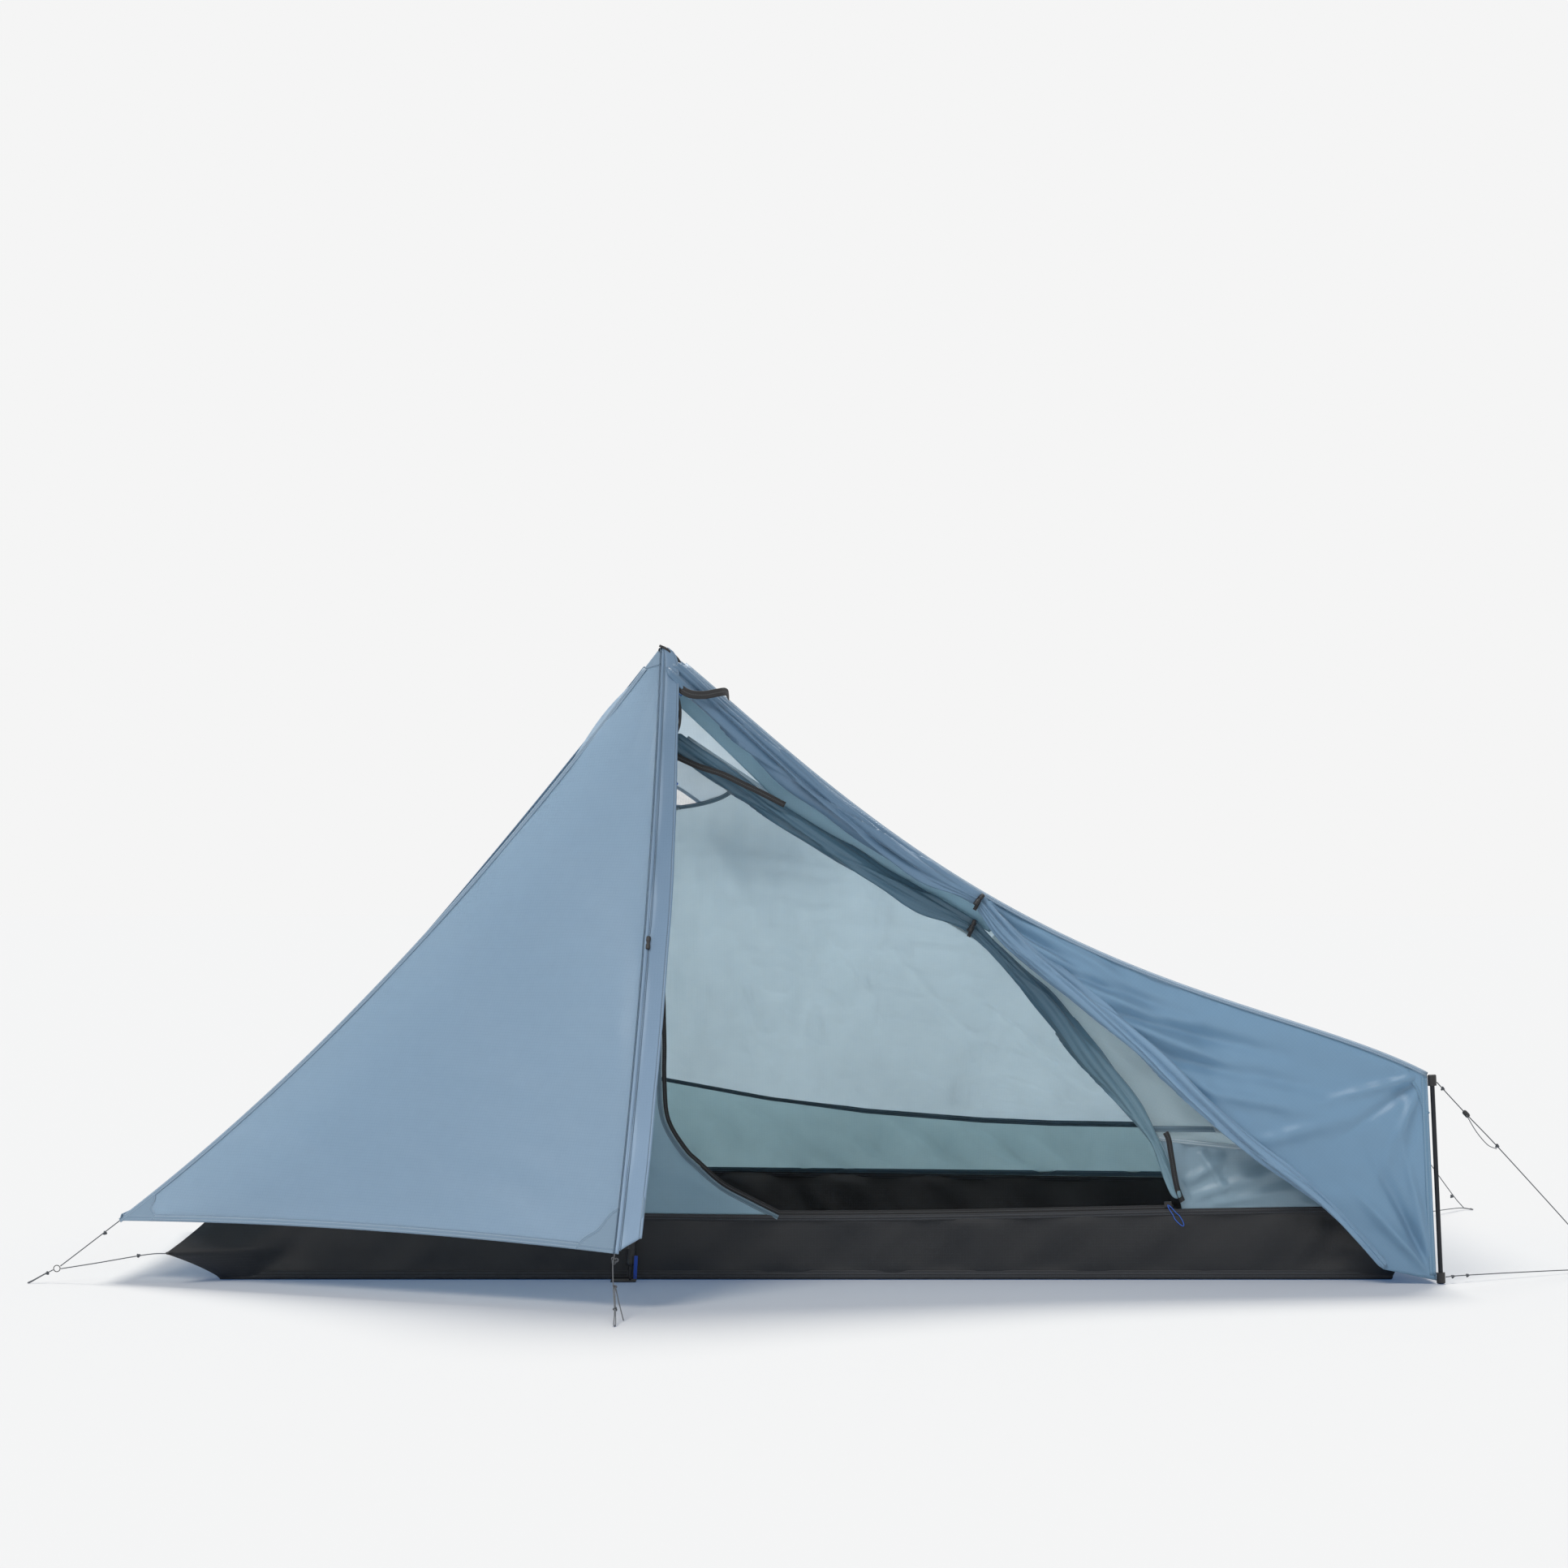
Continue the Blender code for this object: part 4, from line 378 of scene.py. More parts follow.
# The bathtub floor: a coated black sheet with an upright wall sewn round it, its top edge bound and its
# foot hemmed twice. Pegging loops draw a point out of each corner at the height WALL_FOLD, and creases run
# into these points.
NEAR, FAR, HEAD, FOOT = -0.435, 0.435, -1.070, 1.070
FLOOR_TAPER, TUB_CLOTH = 0.035, 0.0016
CORNERS = [np.array([HEAD, NEAR, 0.0]), np.array([FOOT, NEAR, 0.0]),
           np.array([FOOT, FAR - FLOOR_TAPER, 0.0]), np.array([HEAD, FAR, 0.0])]
MIDDLE, STITCH = np.array([0.0, 0.0, 0.25]), 0.0036
WALL_HIGH, NEAR_DIP, FAR_FALL, WALL_FOLD = 0.133, 0.015, 0.029, 0.056


def stitches(root, across, far, rows):
    """One where a stitch lies: dashes along each line at its distance from the middle."""
    dash = root.math("LESS_THAN", root.math("FRACT", far / STITCH), 0.72)
    lines = [root.math("LESS_THAN", root.math("ABSOLUTE", across - row), 0.0007) for row in rows]
    both = lines[0]
    for line in lines[1:]:
        both = both + line
    return both * dash


def fabric(name, shown, rough=0.50, passes=0.30, glow=(0.80, 0.88, 0.95), grid=0.0052, crinkle=0.35,
           rows=(), thread=None, tone=0.05, sheen=0.12, weave=0.10, coat=0.0, later=None):
    """Coated ripstop cloth, from its UV in metres.

    Its colour wanders a little, thicker threads make a square grid, and a fine crinkle stands up from it.
    Lines of stitches run along at the distances rows. The share passes of the light comes through. A second
    colour later, (colour, from, to), takes over along its length: painted shade, with the cloth darker where its
    length starts.
    """
    made, root = new_material(name)
    uv = root.node("UVMap", {"uv_map": "UVMap"})
    far = root.node("SeparateXYZ", sockets={0: uv})
    side = far.beside(1)
    squares = [root.math("LESS_THAN", root.math("PINGPONG", place / grid, 0.5), 0.06) for place in (far, side)]
    squares = root.math("MAXIMUM", *squares)
    broad = root.node("TexNoise", sockets={"Vector": uv, "Scale": 3.1, "Detail": 3.0})
    fine = root.node("TexNoise", sockets={"Vector": uv, "Scale": 34.0, "Detail": 6.0, "Roughness": 0.62})
    yarn = root.math("SINE", far * (math.tau / 0.0011)) * root.math("SINE", side * (math.tau / 0.0011))
    height = fine * crinkle + squares * 0.10 + yarn * (weave * 0.3)
    pale = tuple(min(1.0, part * (1 + tone * 2)) for part in linear(*shown))
    deep = tuple(part * (1 - tone * 2) for part in linear(*shown))
    mix = broad * 0.9 + fine * 0.25 - squares * 0.16 - 0.05
    colour = blend(mix, deep, pale)
    if later:
        second, low, high = later
        turned = root.math("SMOOTH_MIN", root.math("MAXIMUM", (far - low) / (high - low), 0.0), 1.0, 0.2)
        colour = blend(turned, colour, linear(*second))
    if rows:
        sewn = stitches(root, side, far, rows)
        colour = blend(sewn, colour, linear(*(thread or shown)))
        for row in rows:
            height = height + root.math("SMOOTH_MIN", root.math("ABSOLUTE", side - row), 0.0016, 0.0008) * 420.0
        height = height + sewn * 0.5
    bump = root.node("Bump", sockets={"Strength": 0.55, "Distance": 0.0016, "Height": height})
    front = root.node("BsdfPrincipled", sockets={"Base Color": colour, "Roughness": rough + (fine - 0.5) * 0.12,
                                                 "Normal": bump, "Sheen Weight": sheen, "Coat Weight": coat,
                                                 "Coat Roughness": 0.35})
    if passes:
        behind = root.node("BsdfTranslucent", sockets={"Color": (*glow, 1.0), "Normal": bump})
        share = (broad * 0.22 + fine * 0.20 - squares * 0.10 + 0.80) * passes
        front = root.node("MixShader", sockets={0: share, 1: front, 2: behind})
    root.node("OutputMaterial", sockets={"Surface": front})
    return made


TUB = fabric("tub_fabric", (22, 24, 28), rough=0.40, passes=0.0, crinkle=0.5, sheen=0.06)
TUB_BAND = fabric("tub_binding", (31, 33, 37), rough=0.62, passes=0.0, rows=(-0.0026, 0.0026),
                  thread=(56, 60, 66), grid=0.0030, sheen=0.06)


def normals_of(grid, centre=MIDDLE):
    """Unit normals of a grid of points, turned away from centre at its middle."""
    normals = np.cross(np.gradient(grid, axis=0), np.gradient(grid, axis=1))
    normals /= np.maximum(np.linalg.norm(normals, axis=-1, keepdims=True), 1e-12)
    middle = tuple(size // 2 for size in grid.shape[:2])
    return normals if normals[middle] @ (grid[middle] - centre) > 0 else -normals


def crease(points, start, end, wide, high, peak=0.5):
    """Height of a fold from start to end: sin(pi share^peak) along it, and a bell across it."""
    start, run = np.asarray(start, float), np.asarray(end, float) - np.asarray(start, float)
    share = np.clip(((points - start) @ run) / (run @ run), 0, 1)
    off = np.linalg.norm(points - start - share[..., None] * run, axis=-1)
    return high * np.sin(math.pi * share ** peak) * np.exp(-(off / wide) ** 2)


def waves(places, seed, length, high, lean=0.0, spread=3.2):
    """Low waves over two coordinates: a sum of eight sine waves of about one length, their ways spread about
    lean."""
    chance, count = np.random.default_rng(seed), 8
    turns, sizes = chance.normal(lean, spread, count), length * chance.uniform(0.7, 1.5, count)
    phases = chance.uniform(0, math.tau, count)
    each = (places[..., :1] * np.cos(turns) + places[..., 1:] * np.sin(turns)) * math.tau / sizes + phases
    return high * np.sin(each).sum(-1) / math.sqrt(count)


def held(share, soft=0.06):
    """Zero at a sewn edge and one away from it: 1 - exp(-(share / soft)^2)."""
    return 1 - np.exp(-(share / soft) ** 2)


def flat_uv(grid, level=None):
    """UV in metres on the sheet's own plane: first level across it, then down it."""
    normal = unit(normals_of(grid).mean(axis=(0, 1)))
    level = unit(np.cross((0, 0, 1.0), normal)) if level is None else unit(level)
    down = np.cross(normal, level)
    return np.stack([(grid - grid[0, 0]) @ level, (grid - grid[0, 0]) @ down], axis=-1)


def held_round(s, t, top=0.06, bottom=0.06, left=0.06, right=0.06):
    """Zero at all four sewn edges of a panel and one away from them."""
    return held(s, top) * held(1 - s, bottom) * held(t, left) * held(1 - t, right)


def area_of(grid, keep=slice(None)):
    """Area of a grid's kept cells: half the cross product of each cell's diagonals, summed."""
    a, b, c, d = grid[:-1, :-1], grid[:-1, 1:], grid[1:, 1:], grid[1:, :-1]
    return float(np.linalg.norm(np.cross(c - a, d - b), axis=-1)[keep].sum() / 2)


def walled(piece, thick):
    """Gives a sheet its thickness, inwards."""
    solid = piece.modifiers.new("cloth_thickness", "SOLIDIFY")
    solid.thickness, solid.offset = thick, -1.0
    return piece


def sheet(name, grid, push, finish, slot, nodes, keep=None, thick=0.0009, centre=MIDDLE, level=None,
          uv=None):
    """A sheet of cloth: the grid pushed out along its normals by push and walled inwards."""
    uv = flat_uv(grid, level) if uv is None else uv
    shape = grid + normals_of(grid, centre) * np.asarray(push, float)[..., None]
    piece = walled(mesh_over(name, shape, uv, finish, keep, centre=centre), thick)
    area = area_of(shape, slice(None) if keep is None else keep)
    return dress(piece, "tent", slot, *nodes)


def wall_height(place):
    """Height of the wall's top: the near side dips at its middle, the far side falls to the foot."""
    share = (place[..., 0] - HEAD) / (FOOT - HEAD)
    near_top = WALL_HIGH - NEAR_DIP * np.sin(np.pi * share) ** 2
    far_top = WALL_HIGH + 0.4 * FAR_FALL - FAR_FALL * share
    return near_top + (far_top - near_top) * (place[..., 1] - NEAR) / (FAR - NEAR)


def tub_wall():
    """The wall as a closed grid: outline place + height up + lean out.

    The lean at a corner is its most times (1 - distance / reach)^1.8, and it grows up to WALL_FOLD and
    shrinks above it. The columns lie closer together near the corners.
    """
    per, reach = 132, 0.125
    share = np.arange(per) / per
    share = 0.5 - 0.5 * np.cos(np.pi * share) * (1 - 0.35 * np.sin(np.pi * share) ** 2)
    places, outward, pulls, far = [], [], [], []
    for number, corner in enumerate(CORNERS):
        ahead, behind = CORNERS[(number + 1) % 4], CORNERS[number - 1]
        normal, before = unit(np.cross(ahead - corner, UP)), unit(np.cross(corner - behind, UP))
        after = unit(np.cross(CORNERS[(number + 2) % 4] - ahead, UP))
        long = np.linalg.norm(ahead - corner)
        near, rest = share * long, (1 - share) * long
        first, second = ((0.115 if abs(c[0] - HEAD) < 0.01 else 0.040) for c in (corner, ahead))
        by_first, by_second = (np.clip(1 - distance / reach, 0, 1) for distance in (near, rest))
        places.append(corner + (ahead - corner) * share[:, None])
        outward.append(unit(normal + before * by_first[:, None] ** 0.8 + after * by_second[:, None] ** 0.8))
        pulls.append(first * by_first ** 1.8 + second * by_second ** 1.8)
        far.append(near + sum(np.linalg.norm(CORNERS[(k + 1) % 4] - CORNERS[k]) for k in range(number)))
    places, outward, pulls = np.concatenate(places), np.concatenate(outward), np.concatenate(pulls)
    far = np.append(np.concatenate(far), far[-1][-1] + (1 - share[-1]) * long)
    rise = np.linspace(0, 1, 26)[:, None]
    tops = wall_height(places)[None, :]
    foot = TUB_CLOTH + 0.0003
    high = foot + (tops - foot) * rise
    hill = np.interp(high, [foot, WALL_FOLD, 0.135], [0.0, 1.0, 0.0]) ** 1.3
    out = pulls * hill + 0.004 * rise
    loose = held(rise, 0.12) * held(1 - rise, 0.10)
    face = np.stack(np.broadcast_arrays(far[None, :-1], high), axis=-1)
    folds = waves(face, 3, 0.16, 0.0022, 0.35, 0.5) + waves(face, 5, 0.052, 0.0009, -0.4, 0.5)
    corners_at = (0.0, 2.14, 2.9755, 5.115, 5.985)
    corner = np.exp(-(np.minimum.reduce([np.abs(far[None, :-1] - place) for place in corners_at]) / 0.16) ** 2)
    folds = folds * (1 + 0.9 * corner) + 0.0035 * corner * np.sin((high - WALL_FOLD) / 0.016) * np.exp(-pulls / 0.03)
    out = out + folds * loose
    grid = places[None] + outward[None] * out[..., None] + high[..., None] * UP
    uv = np.stack(np.broadcast_arrays(far[None, :], np.concatenate([high, high[:, :1]], axis=1)), axis=-1)
    return grid, uv, places, outward, tops[0]


grid, uv, tub_places, tub_outward, tub_tops = tub_wall()
wall = walled(mesh_over("bathtub_wall_cloth", grid, uv, TUB, closed=True, capped=False), 0.0010)
dress(wall, "tent", "tub_cloth", "bathtub_wall")
area_of(grid)


def band(name, line, front, wide, thick, finish, slot, nodes=(), hoop=False):
    """A flat strip of cloth or webbing along a line: an oval section, wide across and thick through."""
    turn = np.arange(12) / 12 * math.tau
    section = np.stack([np.cos(turn) * thick / 2, np.sign(np.sin(turn)) * np.abs(np.sin(turn)) ** 0.45 * wide / 2],
                       axis=-1)
    grid = carried(line, section, front, hoop)
    far = along(np.vstack([line, line[:1]]) if hoop else line)
    across = np.append(section[:, 1], section[0, 1])
    uv = np.stack(np.meshgrid(far, across, indexing="ij"), axis=-1)
    return dress(mesh_over(name, grid, uv, finish, closed=True, hoop=hoop), "tent", slot, *nodes)


rim = tub_places + tub_outward * 0.0040 + np.outer(tub_tops - 0.0052, UP)
band("bathtub_rim_binding", rim, tub_outward, 0.0125, 0.0030, TUB_BAND, "tub_cloth", hoop=True)
foot_line = tub_places + tub_outward * 0.0008 + 0.0100 * UP
band("bathtub_hem", foot_line, tub_outward, 0.0150, 0.0022, TUB_BAND, "tub_cloth", hoop=True)

# The floor sheet: its corners blended evenly, with wrinkles of about a millimetre.
s, t = np.meshgrid(np.linspace(0, 1, 60), np.linspace(0, 1, 130), indexing="ij")
near, far = (CORNERS[a] + (CORNERS[b] - CORNERS[a]) * t[..., None] for a, b in ((0, 1), (3, 2)))
grid = near + (far - near) * s[..., None] + TUB_CLOTH * UP
push = held_round(s, t, 0.04, 0.04, 0.03, 0.03) * (0.0012 + waves(grid[..., :2], 8, 0.19, 0.0011))
sheet("groundsheet_cloth", grid, push, TUB, "tub_cloth", ["groundsheet"], centre=-UP, level=(1, 0, 0))

# Webbing loops are sewn to the wall's corner points, for the corner pegs; their cord ends of bright blue are not drawn.
WEBBING = fabric("black_webbing", (34, 34, 36), rough=0.80, passes=0.0, grid=0.0016, crinkle=0.2, tone=0.09,
                 weave=0.9)
for name, place, way in (("near_head_corner_loop", (-1.1475, -0.5125, 0.0560), (-1, -1, 0)),
                         ("far_head_corner_loop", (-1.1475, 0.5125, 0.0560), (-1, 1, 0))):
    way = unit(way)
    t = np.linspace(0, math.pi, 14)[:, None]
    loop = np.array(place) - way * 0.012 + way * 0.020 * np.sin(t) + UP * 0.0035 * np.cos(t)
    band(name, loop, UP * np.cos(t) + way * np.sin(t), 0.0100, 0.0014, WEBBING, "black_webbing")

# A short tab of blue webbing stands beside the pole's foot, and a knot ties the front line to its corner.
COBALT_WEB = fabric("cobalt_webbing", (22, 72, 178), rough=0.72, passes=0.0, grid=0.0016, crinkle=0.2, tone=0.09,
                    weave=0.9)
tab = [(-0.3102, -0.4765, 0.0060), (-0.3098, -0.4795, 0.0180), (-0.3090, -0.4800, 0.0330), (-0.3082, -0.4790, 0.0480)]
band("pole_foot_tab", tab, (0.2, -1, 0), 0.0065, 0.0016, COBALT_WEB, "cobalt_cord")
knot("front_hook_knot", PORCH + (0.0, -0.0060, -0.0110), 0.0062, GUYLINE, 0.3)


# The inner tent: pale breathable cloth hung inside the fly from the pole's top and from the foot struts,
# and sewn to the wall's rim. Its back wall has a netting window at the top and a lower band below a tape.
INNER_PEAK = np.array((-0.262, -0.438, 1.020))
IN_NEAR_CORNER, IN_FAR_CORNER = np.array((1.035, -0.438, 0.285)), np.array((1.035, 0.390, 0.235))
IN_TOP, BAND_AT, WINDOW_LOW = 0.025, 0.78, 0.138


def span(start, end, bow=(0.0, 0.0, 0.0), early=1.0, late=1.0):
    """A curve from start to end: the straight line plus bow share^early (1 - share)^late, at most bow."""
    start, end, bow = (np.asarray(value, float) for value in (start, end, bow))
    most = early / (early + late)
    full = most ** early * (1 - most) ** late

    def at(share):
        share = np.asarray(share, float)[..., None]
        return start + (end - start) * share + bow * share ** early * (1 - share) ** late / full
    return at


def part_of(curve, low, high):
    """The stretch of a curve between two shares."""
    return lambda share: curve(low + (high - low) * np.asarray(share, float))


def joined(first, second, turn):
    """Two curves end to end, with the first one up to the share turn."""
    def at(share):
        share = np.asarray(share, float)
        early = first(np.clip(share / turn, 0, 1))
        late = second(np.clip((share - turn) / (1 - turn), 0, 1))
        return np.where((share < turn)[..., None], early, late)
    return at


def coons(left, right, top, bottom, s, t, hold=1):
    """Surface between four edges: ruled from left to right, plus what top and bottom leave straight
    lines by, which fades down the sheet as (1 - s)^hold and up it as s^hold."""
    down, across = s[..., None], t[..., None]
    ruled = (1 - across) * left(s) + across * right(s)
    top_bow = top(t) - (1 - across) * left(0.0) - across * right(0.0)
    bottom_bow = bottom(t) - (1 - across) * left(1.0) - across * right(1.0)
    return ruled + (1 - down) ** hold * top_bow + down ** hold * bottom_bow


def shares(rows, cols):
    """Grids of s and t from counts, or from the shares themselves."""
    parts = (np.linspace(0, 1, value) if isinstance(value, int) else np.asarray(value) for value in (rows, cols))
    return np.meshgrid(*parts, indexing="ij")


def split(count, *turns):
    """About count even shares from 0 to 1 that pass through each turn."""
    ends = [0.0, *turns, 1.0]
    parts = [np.linspace(low, high, max(2, round(count * (high - low)) + 1))[:-1] for low, high in zip(ends, ends[1:])]
    return np.append(np.concatenate(parts), 1.0)


def wall_top(side):
    """The rim along one side of the floor, from its first corner to its second."""
    first, second = CORNERS[side], CORNERS[(side + 1) % 4]
    normal = unit(np.cross(second - first, UP))

    def at(share):
        share = np.asarray(share, float)[..., None]
        place = first + (second - first) * share
        place = place + normal * 0.0034 * np.clip(share / 0.02, 0, 1) * np.clip((1 - share) / 0.02, 0, 1)
        return place + wall_height(place)[..., None] * UP
    return at


NEAR_TOP, FOOT_TOP_WALL, FAR_TOP, HEAD_TOP = (wall_top(side) for side in range(4))
IN_HEAD_SEAM = span(INNER_PEAK, NEAR_TOP(0.0), (0, 0, -0.030))
IN_BACK_SEAM = span(INNER_PEAK, FAR_TOP(1.0), (0, 0, -0.030))
IN_RIDGE = span(INNER_PEAK, IN_NEAR_CORNER, (0, 0, -0.040))
IN_FAR_RIDGE = span(INNER_PEAK, IN_FAR_CORNER, (0, 0, -0.044))


def inner_seam(curve):
    """A seam of the inner tent from just under its peak down."""
    return part_of(curve, IN_TOP, 1.0)


def across_top(first, second):
    """The short straight edge under the peak, between two seams."""
    return span(first(0.0), second(0.0))


INNER = fabric("inner_fabric", (208, 224, 231), rough=0.58, passes=0.79, glow=(0.96, 0.99, 0.99), crinkle=0.34,
               grid=0.0058, tone=0.035)
INNER_BAND = fabric("inner_lower_fabric", (168, 192, 198), rough=0.56, passes=0.70, glow=(0.80, 0.90, 0.90),
                    crinkle=0.34, tone=0.04)
INNER_SEAM = fabric("inner_seam_fabric", (150, 172, 184), rough=0.62, passes=0.10, rows=(-0.0022, 0.0022),
                    thread=(196, 206, 212))
INNER_TAPE = fabric("inner_tape", (84, 108, 123), rough=0.70, passes=0.0, rows=(-0.0030, 0.0030),
                    thread=(120, 140, 152), grid=0.0022)


def far_wall(s, t):
    """The inner tent's back wall at shares s down it and t across it."""
    left = inner_seam(IN_BACK_SEAM)
    right = joined(inner_seam(IN_FAR_RIDGE), span(IN_FAR_CORNER, FAR_TOP(0.0)), BAND_AT)
    return coons(left, right, across_top(left, right), lambda share: FAR_TOP(1 - share), s, t)


def met(surface, s, t, x, z):
    """The share down a surface where each of its columns meets the line that x and z give."""
    tried = surface(*np.meshgrid(s, t, indexing="ij"))
    return s[np.argmin(np.abs(tried[..., 2] - np.interp(tried[..., 0], x, z)), axis=0)]


s, t = shares(split(150, WINDOW_LOW, BAND_AT), 150)
hem_row = WINDOW_LOW * (1 - 0.55 * t ** 2)
tape_x = [-0.90, -0.60, -0.285, -0.073, 0.127, 0.36, 0.506, 0.829, 1.030]
tape_z = [0.455, 0.398, 0.332, 0.290, 0.262, 0.242, 0.235, 0.228, 0.232]
tape_row = met(far_wall, np.linspace(0.5, 0.97, 1200), t[0], tape_x, tape_z)[None]
between = hem_row + (tape_row - hem_row) * (s - WINDOW_LOW) / (BAND_AT - WINDOW_LOW)
below = tape_row + (1 - tape_row) * (s - BAND_AT) / (1 - BAND_AT)
rows = np.where(s < WINDOW_LOW, hem_row * s / WINDOW_LOW, np.where(s < BAND_AT, between, below))
back = far_wall(rows, t)
turn, low = int(np.argmin(np.abs(s[:, 0] - BAND_AT))), int(np.argmin(np.abs(s[:, 0] - WINDOW_LOW)))
loose = held_round(s, t, 0.06, 0.04, 0.05, 0.04) * held(s - BAND_AT, 0.04)
folds = waves(back[..., ::2], 21, 0.15, 0.0075, 0.12, 0.20) * (1 - 0.6 * t)
folds = folds + waves(back[..., ::2], 22, 0.060, 0.0022, 0.2, 0.3) * (1 - 0.5 * t)
band_wrinkles = waves(back[..., ::2], 23, 0.080, 0.0080, 0.85, 0.10) * (s > BAND_AT)
fine_wrinkles = waves(back[..., ::2], 24, 0.036, 0.0016, 1.50, 0.10) * (s < BAND_AT)
fine_wrinkles = fine_wrinkles * np.clip(1.8 * t - 0.3, 0.1, 1)


def nearest(grid, x, z):
    """The point of a grid that lies nearest to x and z, seen from the front."""
    return grid.reshape(-1, 3)[np.argmin(np.abs(grid[..., 0] - x) + np.abs(grid[..., 2] - z))]


# Each long fold of the back wall: x and z of its start, its length, and its way in degrees.
wall_folds = ((0.30, 0.52, 0.42, -38), (0.46, 0.44, 0.40, -33), (0.60, 0.37, 0.34, -30), (0.16, 0.60, 0.34, -46),
              (0.72, 0.33, 0.26, -24), (0.02, 0.66, 0.30, -58), (0.38, 0.33, 0.36, -20), (-0.30, 0.55, 0.50, -84),
              (-0.46, 0.48, 0.42, -96), (-0.14, 0.60, 0.44, -78))
for number, (x, z, long, degrees) in enumerate(wall_folds):
    way = math.radians(degrees)
    start = np.array([x, nearest(back, x, z)[1], z])
    end = start + np.array([math.cos(way), 0.0, math.sin(way)]) * long
    wide, high = 0.012 + 0.004 * (number % 3), 0.0085 - 0.0020 * (number % 2)
    folds = folds + crease(back, start, nearest(back, end[0], end[2]), wide, high, 0.8)
push = (folds * 1.5 + band_wrinkles + fine_wrinkles) * loose
sheet("inner_back_upper_cloth", back[low:turn + 1], push[low:turn + 1], INNER, "inner_cloth", ["inner_back_upper"])
sheet("inner_back_band_cloth", back[turn:], push[turn:], INNER_BAND, "inner_cloth", ["inner_back_band"])


def netting(name, shown):
    """Insect netting: six-sided holes drawn by its alpha, on threads of a pale colour."""
    made, root = new_material(name)
    made.surface_render_method = "DITHERED"
    pitch, thread = 0.0022, 0.07
    uv = root.node("UVMap", {"uv_map": "UVMap"})
    cell = root.node("TexVoronoi", {"feature": "DISTANCE_TO_EDGE", "voronoi_dimensions": "2D"},
                     {"Vector": uv, "Scale": 1 / pitch, "Randomness": 0.25})
    solid = root.math("LESS_THAN", cell, thread)
    shade = root.node("TexNoise", sockets={"Vector": uv, "Scale": 6.0, "Detail": 2.0})
    colour = blend(shade, linear(184, 200, 205), linear(*shown))
    net = root.node("BsdfPrincipled", sockets={"Base Color": colour, "Roughness": 0.7, "Alpha": solid})
    root.node("OutputMaterial", sockets={"Surface": net})
    return made


NET = netting("window_netting", (196, 207, 213))
sheet("inner_window_netting", back[:low + 1], push[:low + 1] * 0.3, NET, "inner_cloth", ["inner_mesh_window"],
      thick=0.0004)

# Tapes cover the inner tent's seams on the inside, and its window has a bound hem.
inside = normals_of(back) * -0.0024
band("inner_band_tape", (back + inside)[turn], normals_of(back)[turn], 0.0125, 0.0016, INNER_TAPE, "inner_cloth")
band("inner_rim_tape_back", (back + inside)[-1] + unit(back[-3] - back[-1]) * 0.0075, normals_of(back)[-1], 0.0120,
     0.0016, INNER_TAPE, "inner_cloth")
band("inner_window_hem", (back + inside)[low], normals_of(back)[low], 0.0100, 0.0018, INNER_TAPE, "inner_cloth")


def panel(left, right, bottom, rows, cols):
    """Shares and points of a panel between two seams, from just under the peak to its lower edge."""
    s, t = shares(rows, cols)
    return s, t, coons(left, right, across_top(left, right), bottom, s, t)


# The inner tent's other walls: the head end, the roof below the fly, and the upright foot end.
s, t, head = panel(inner_seam(IN_BACK_SEAM), inner_seam(IN_HEAD_SEAM), HEAD_TOP, 120, 70)
push = held_round(s, t, bottom=0.03) * (
    waves(head[..., 1:], 31, 0.17, 0.0045, 0.1, 0.3)
    + waves(head[..., 1:], 32, 0.055, 0.0012, 0.3, 0.4))
sheet("inner_head_cloth", head, push, INNER, "inner_cloth", ["inner_head_end"])
in_foot_top = span(IN_NEAR_CORNER, IN_FAR_CORNER)
s, t, roof = panel(inner_seam(IN_RIDGE), inner_seam(IN_FAR_RIDGE), in_foot_top, 150, 50)
push = held_round(s, t, left=0.1, right=0.1) * (
    waves(roof[..., :2], 33, 0.16, -0.0040, 0.0, 0.5)
    + crease(roof, (0.25, -0.40, 0.70), (0.95, 0.30, 0.28), 0.030, -0.008)
    + crease(roof, (0.10, -0.42, 0.80), (0.60, 0.25, 0.45), 0.022, -0.006))
sheet("inner_roof_cloth", roof, push, INNER, "inner_cloth", ["inner_roof_panel"])
s, t = shares(40, 70)
near_edge, far_edge = span(IN_NEAR_CORNER, NEAR_TOP(1.0)), span(IN_FAR_CORNER, FAR_TOP(0.0))
foot = coons(near_edge, far_edge, in_foot_top, FOOT_TOP_WALL, s, t)
push = held_round(s, t, 0.12, 0.10) * waves(foot[..., 1:], 34, 0.14, 0.0030, 0.6, 0.5)
sheet("inner_foot_cloth", foot, push, INNER, "inner_cloth", ["inner_foot_end"])
for name, seam, front in (("back", inner_seam(IN_BACK_SEAM), (-0.6, 0.6, 0.5)),
                          ("head", inner_seam(IN_HEAD_SEAM), (-0.7, -0.6, 0.4)),
                          ("far", inner_seam(IN_FAR_RIDGE), (0.2, 0.7, 0.7)),
                          ("near", inner_seam(IN_RIDGE), (0.2, -0.6, 0.8))):
    line = seam(np.linspace(0.01, 1, 70)) + unit(front) * 0.0006
    band("inner_" + name + "_seam", line, front, 0.0120, 0.0022, INNER_SEAM, "inner_cloth")

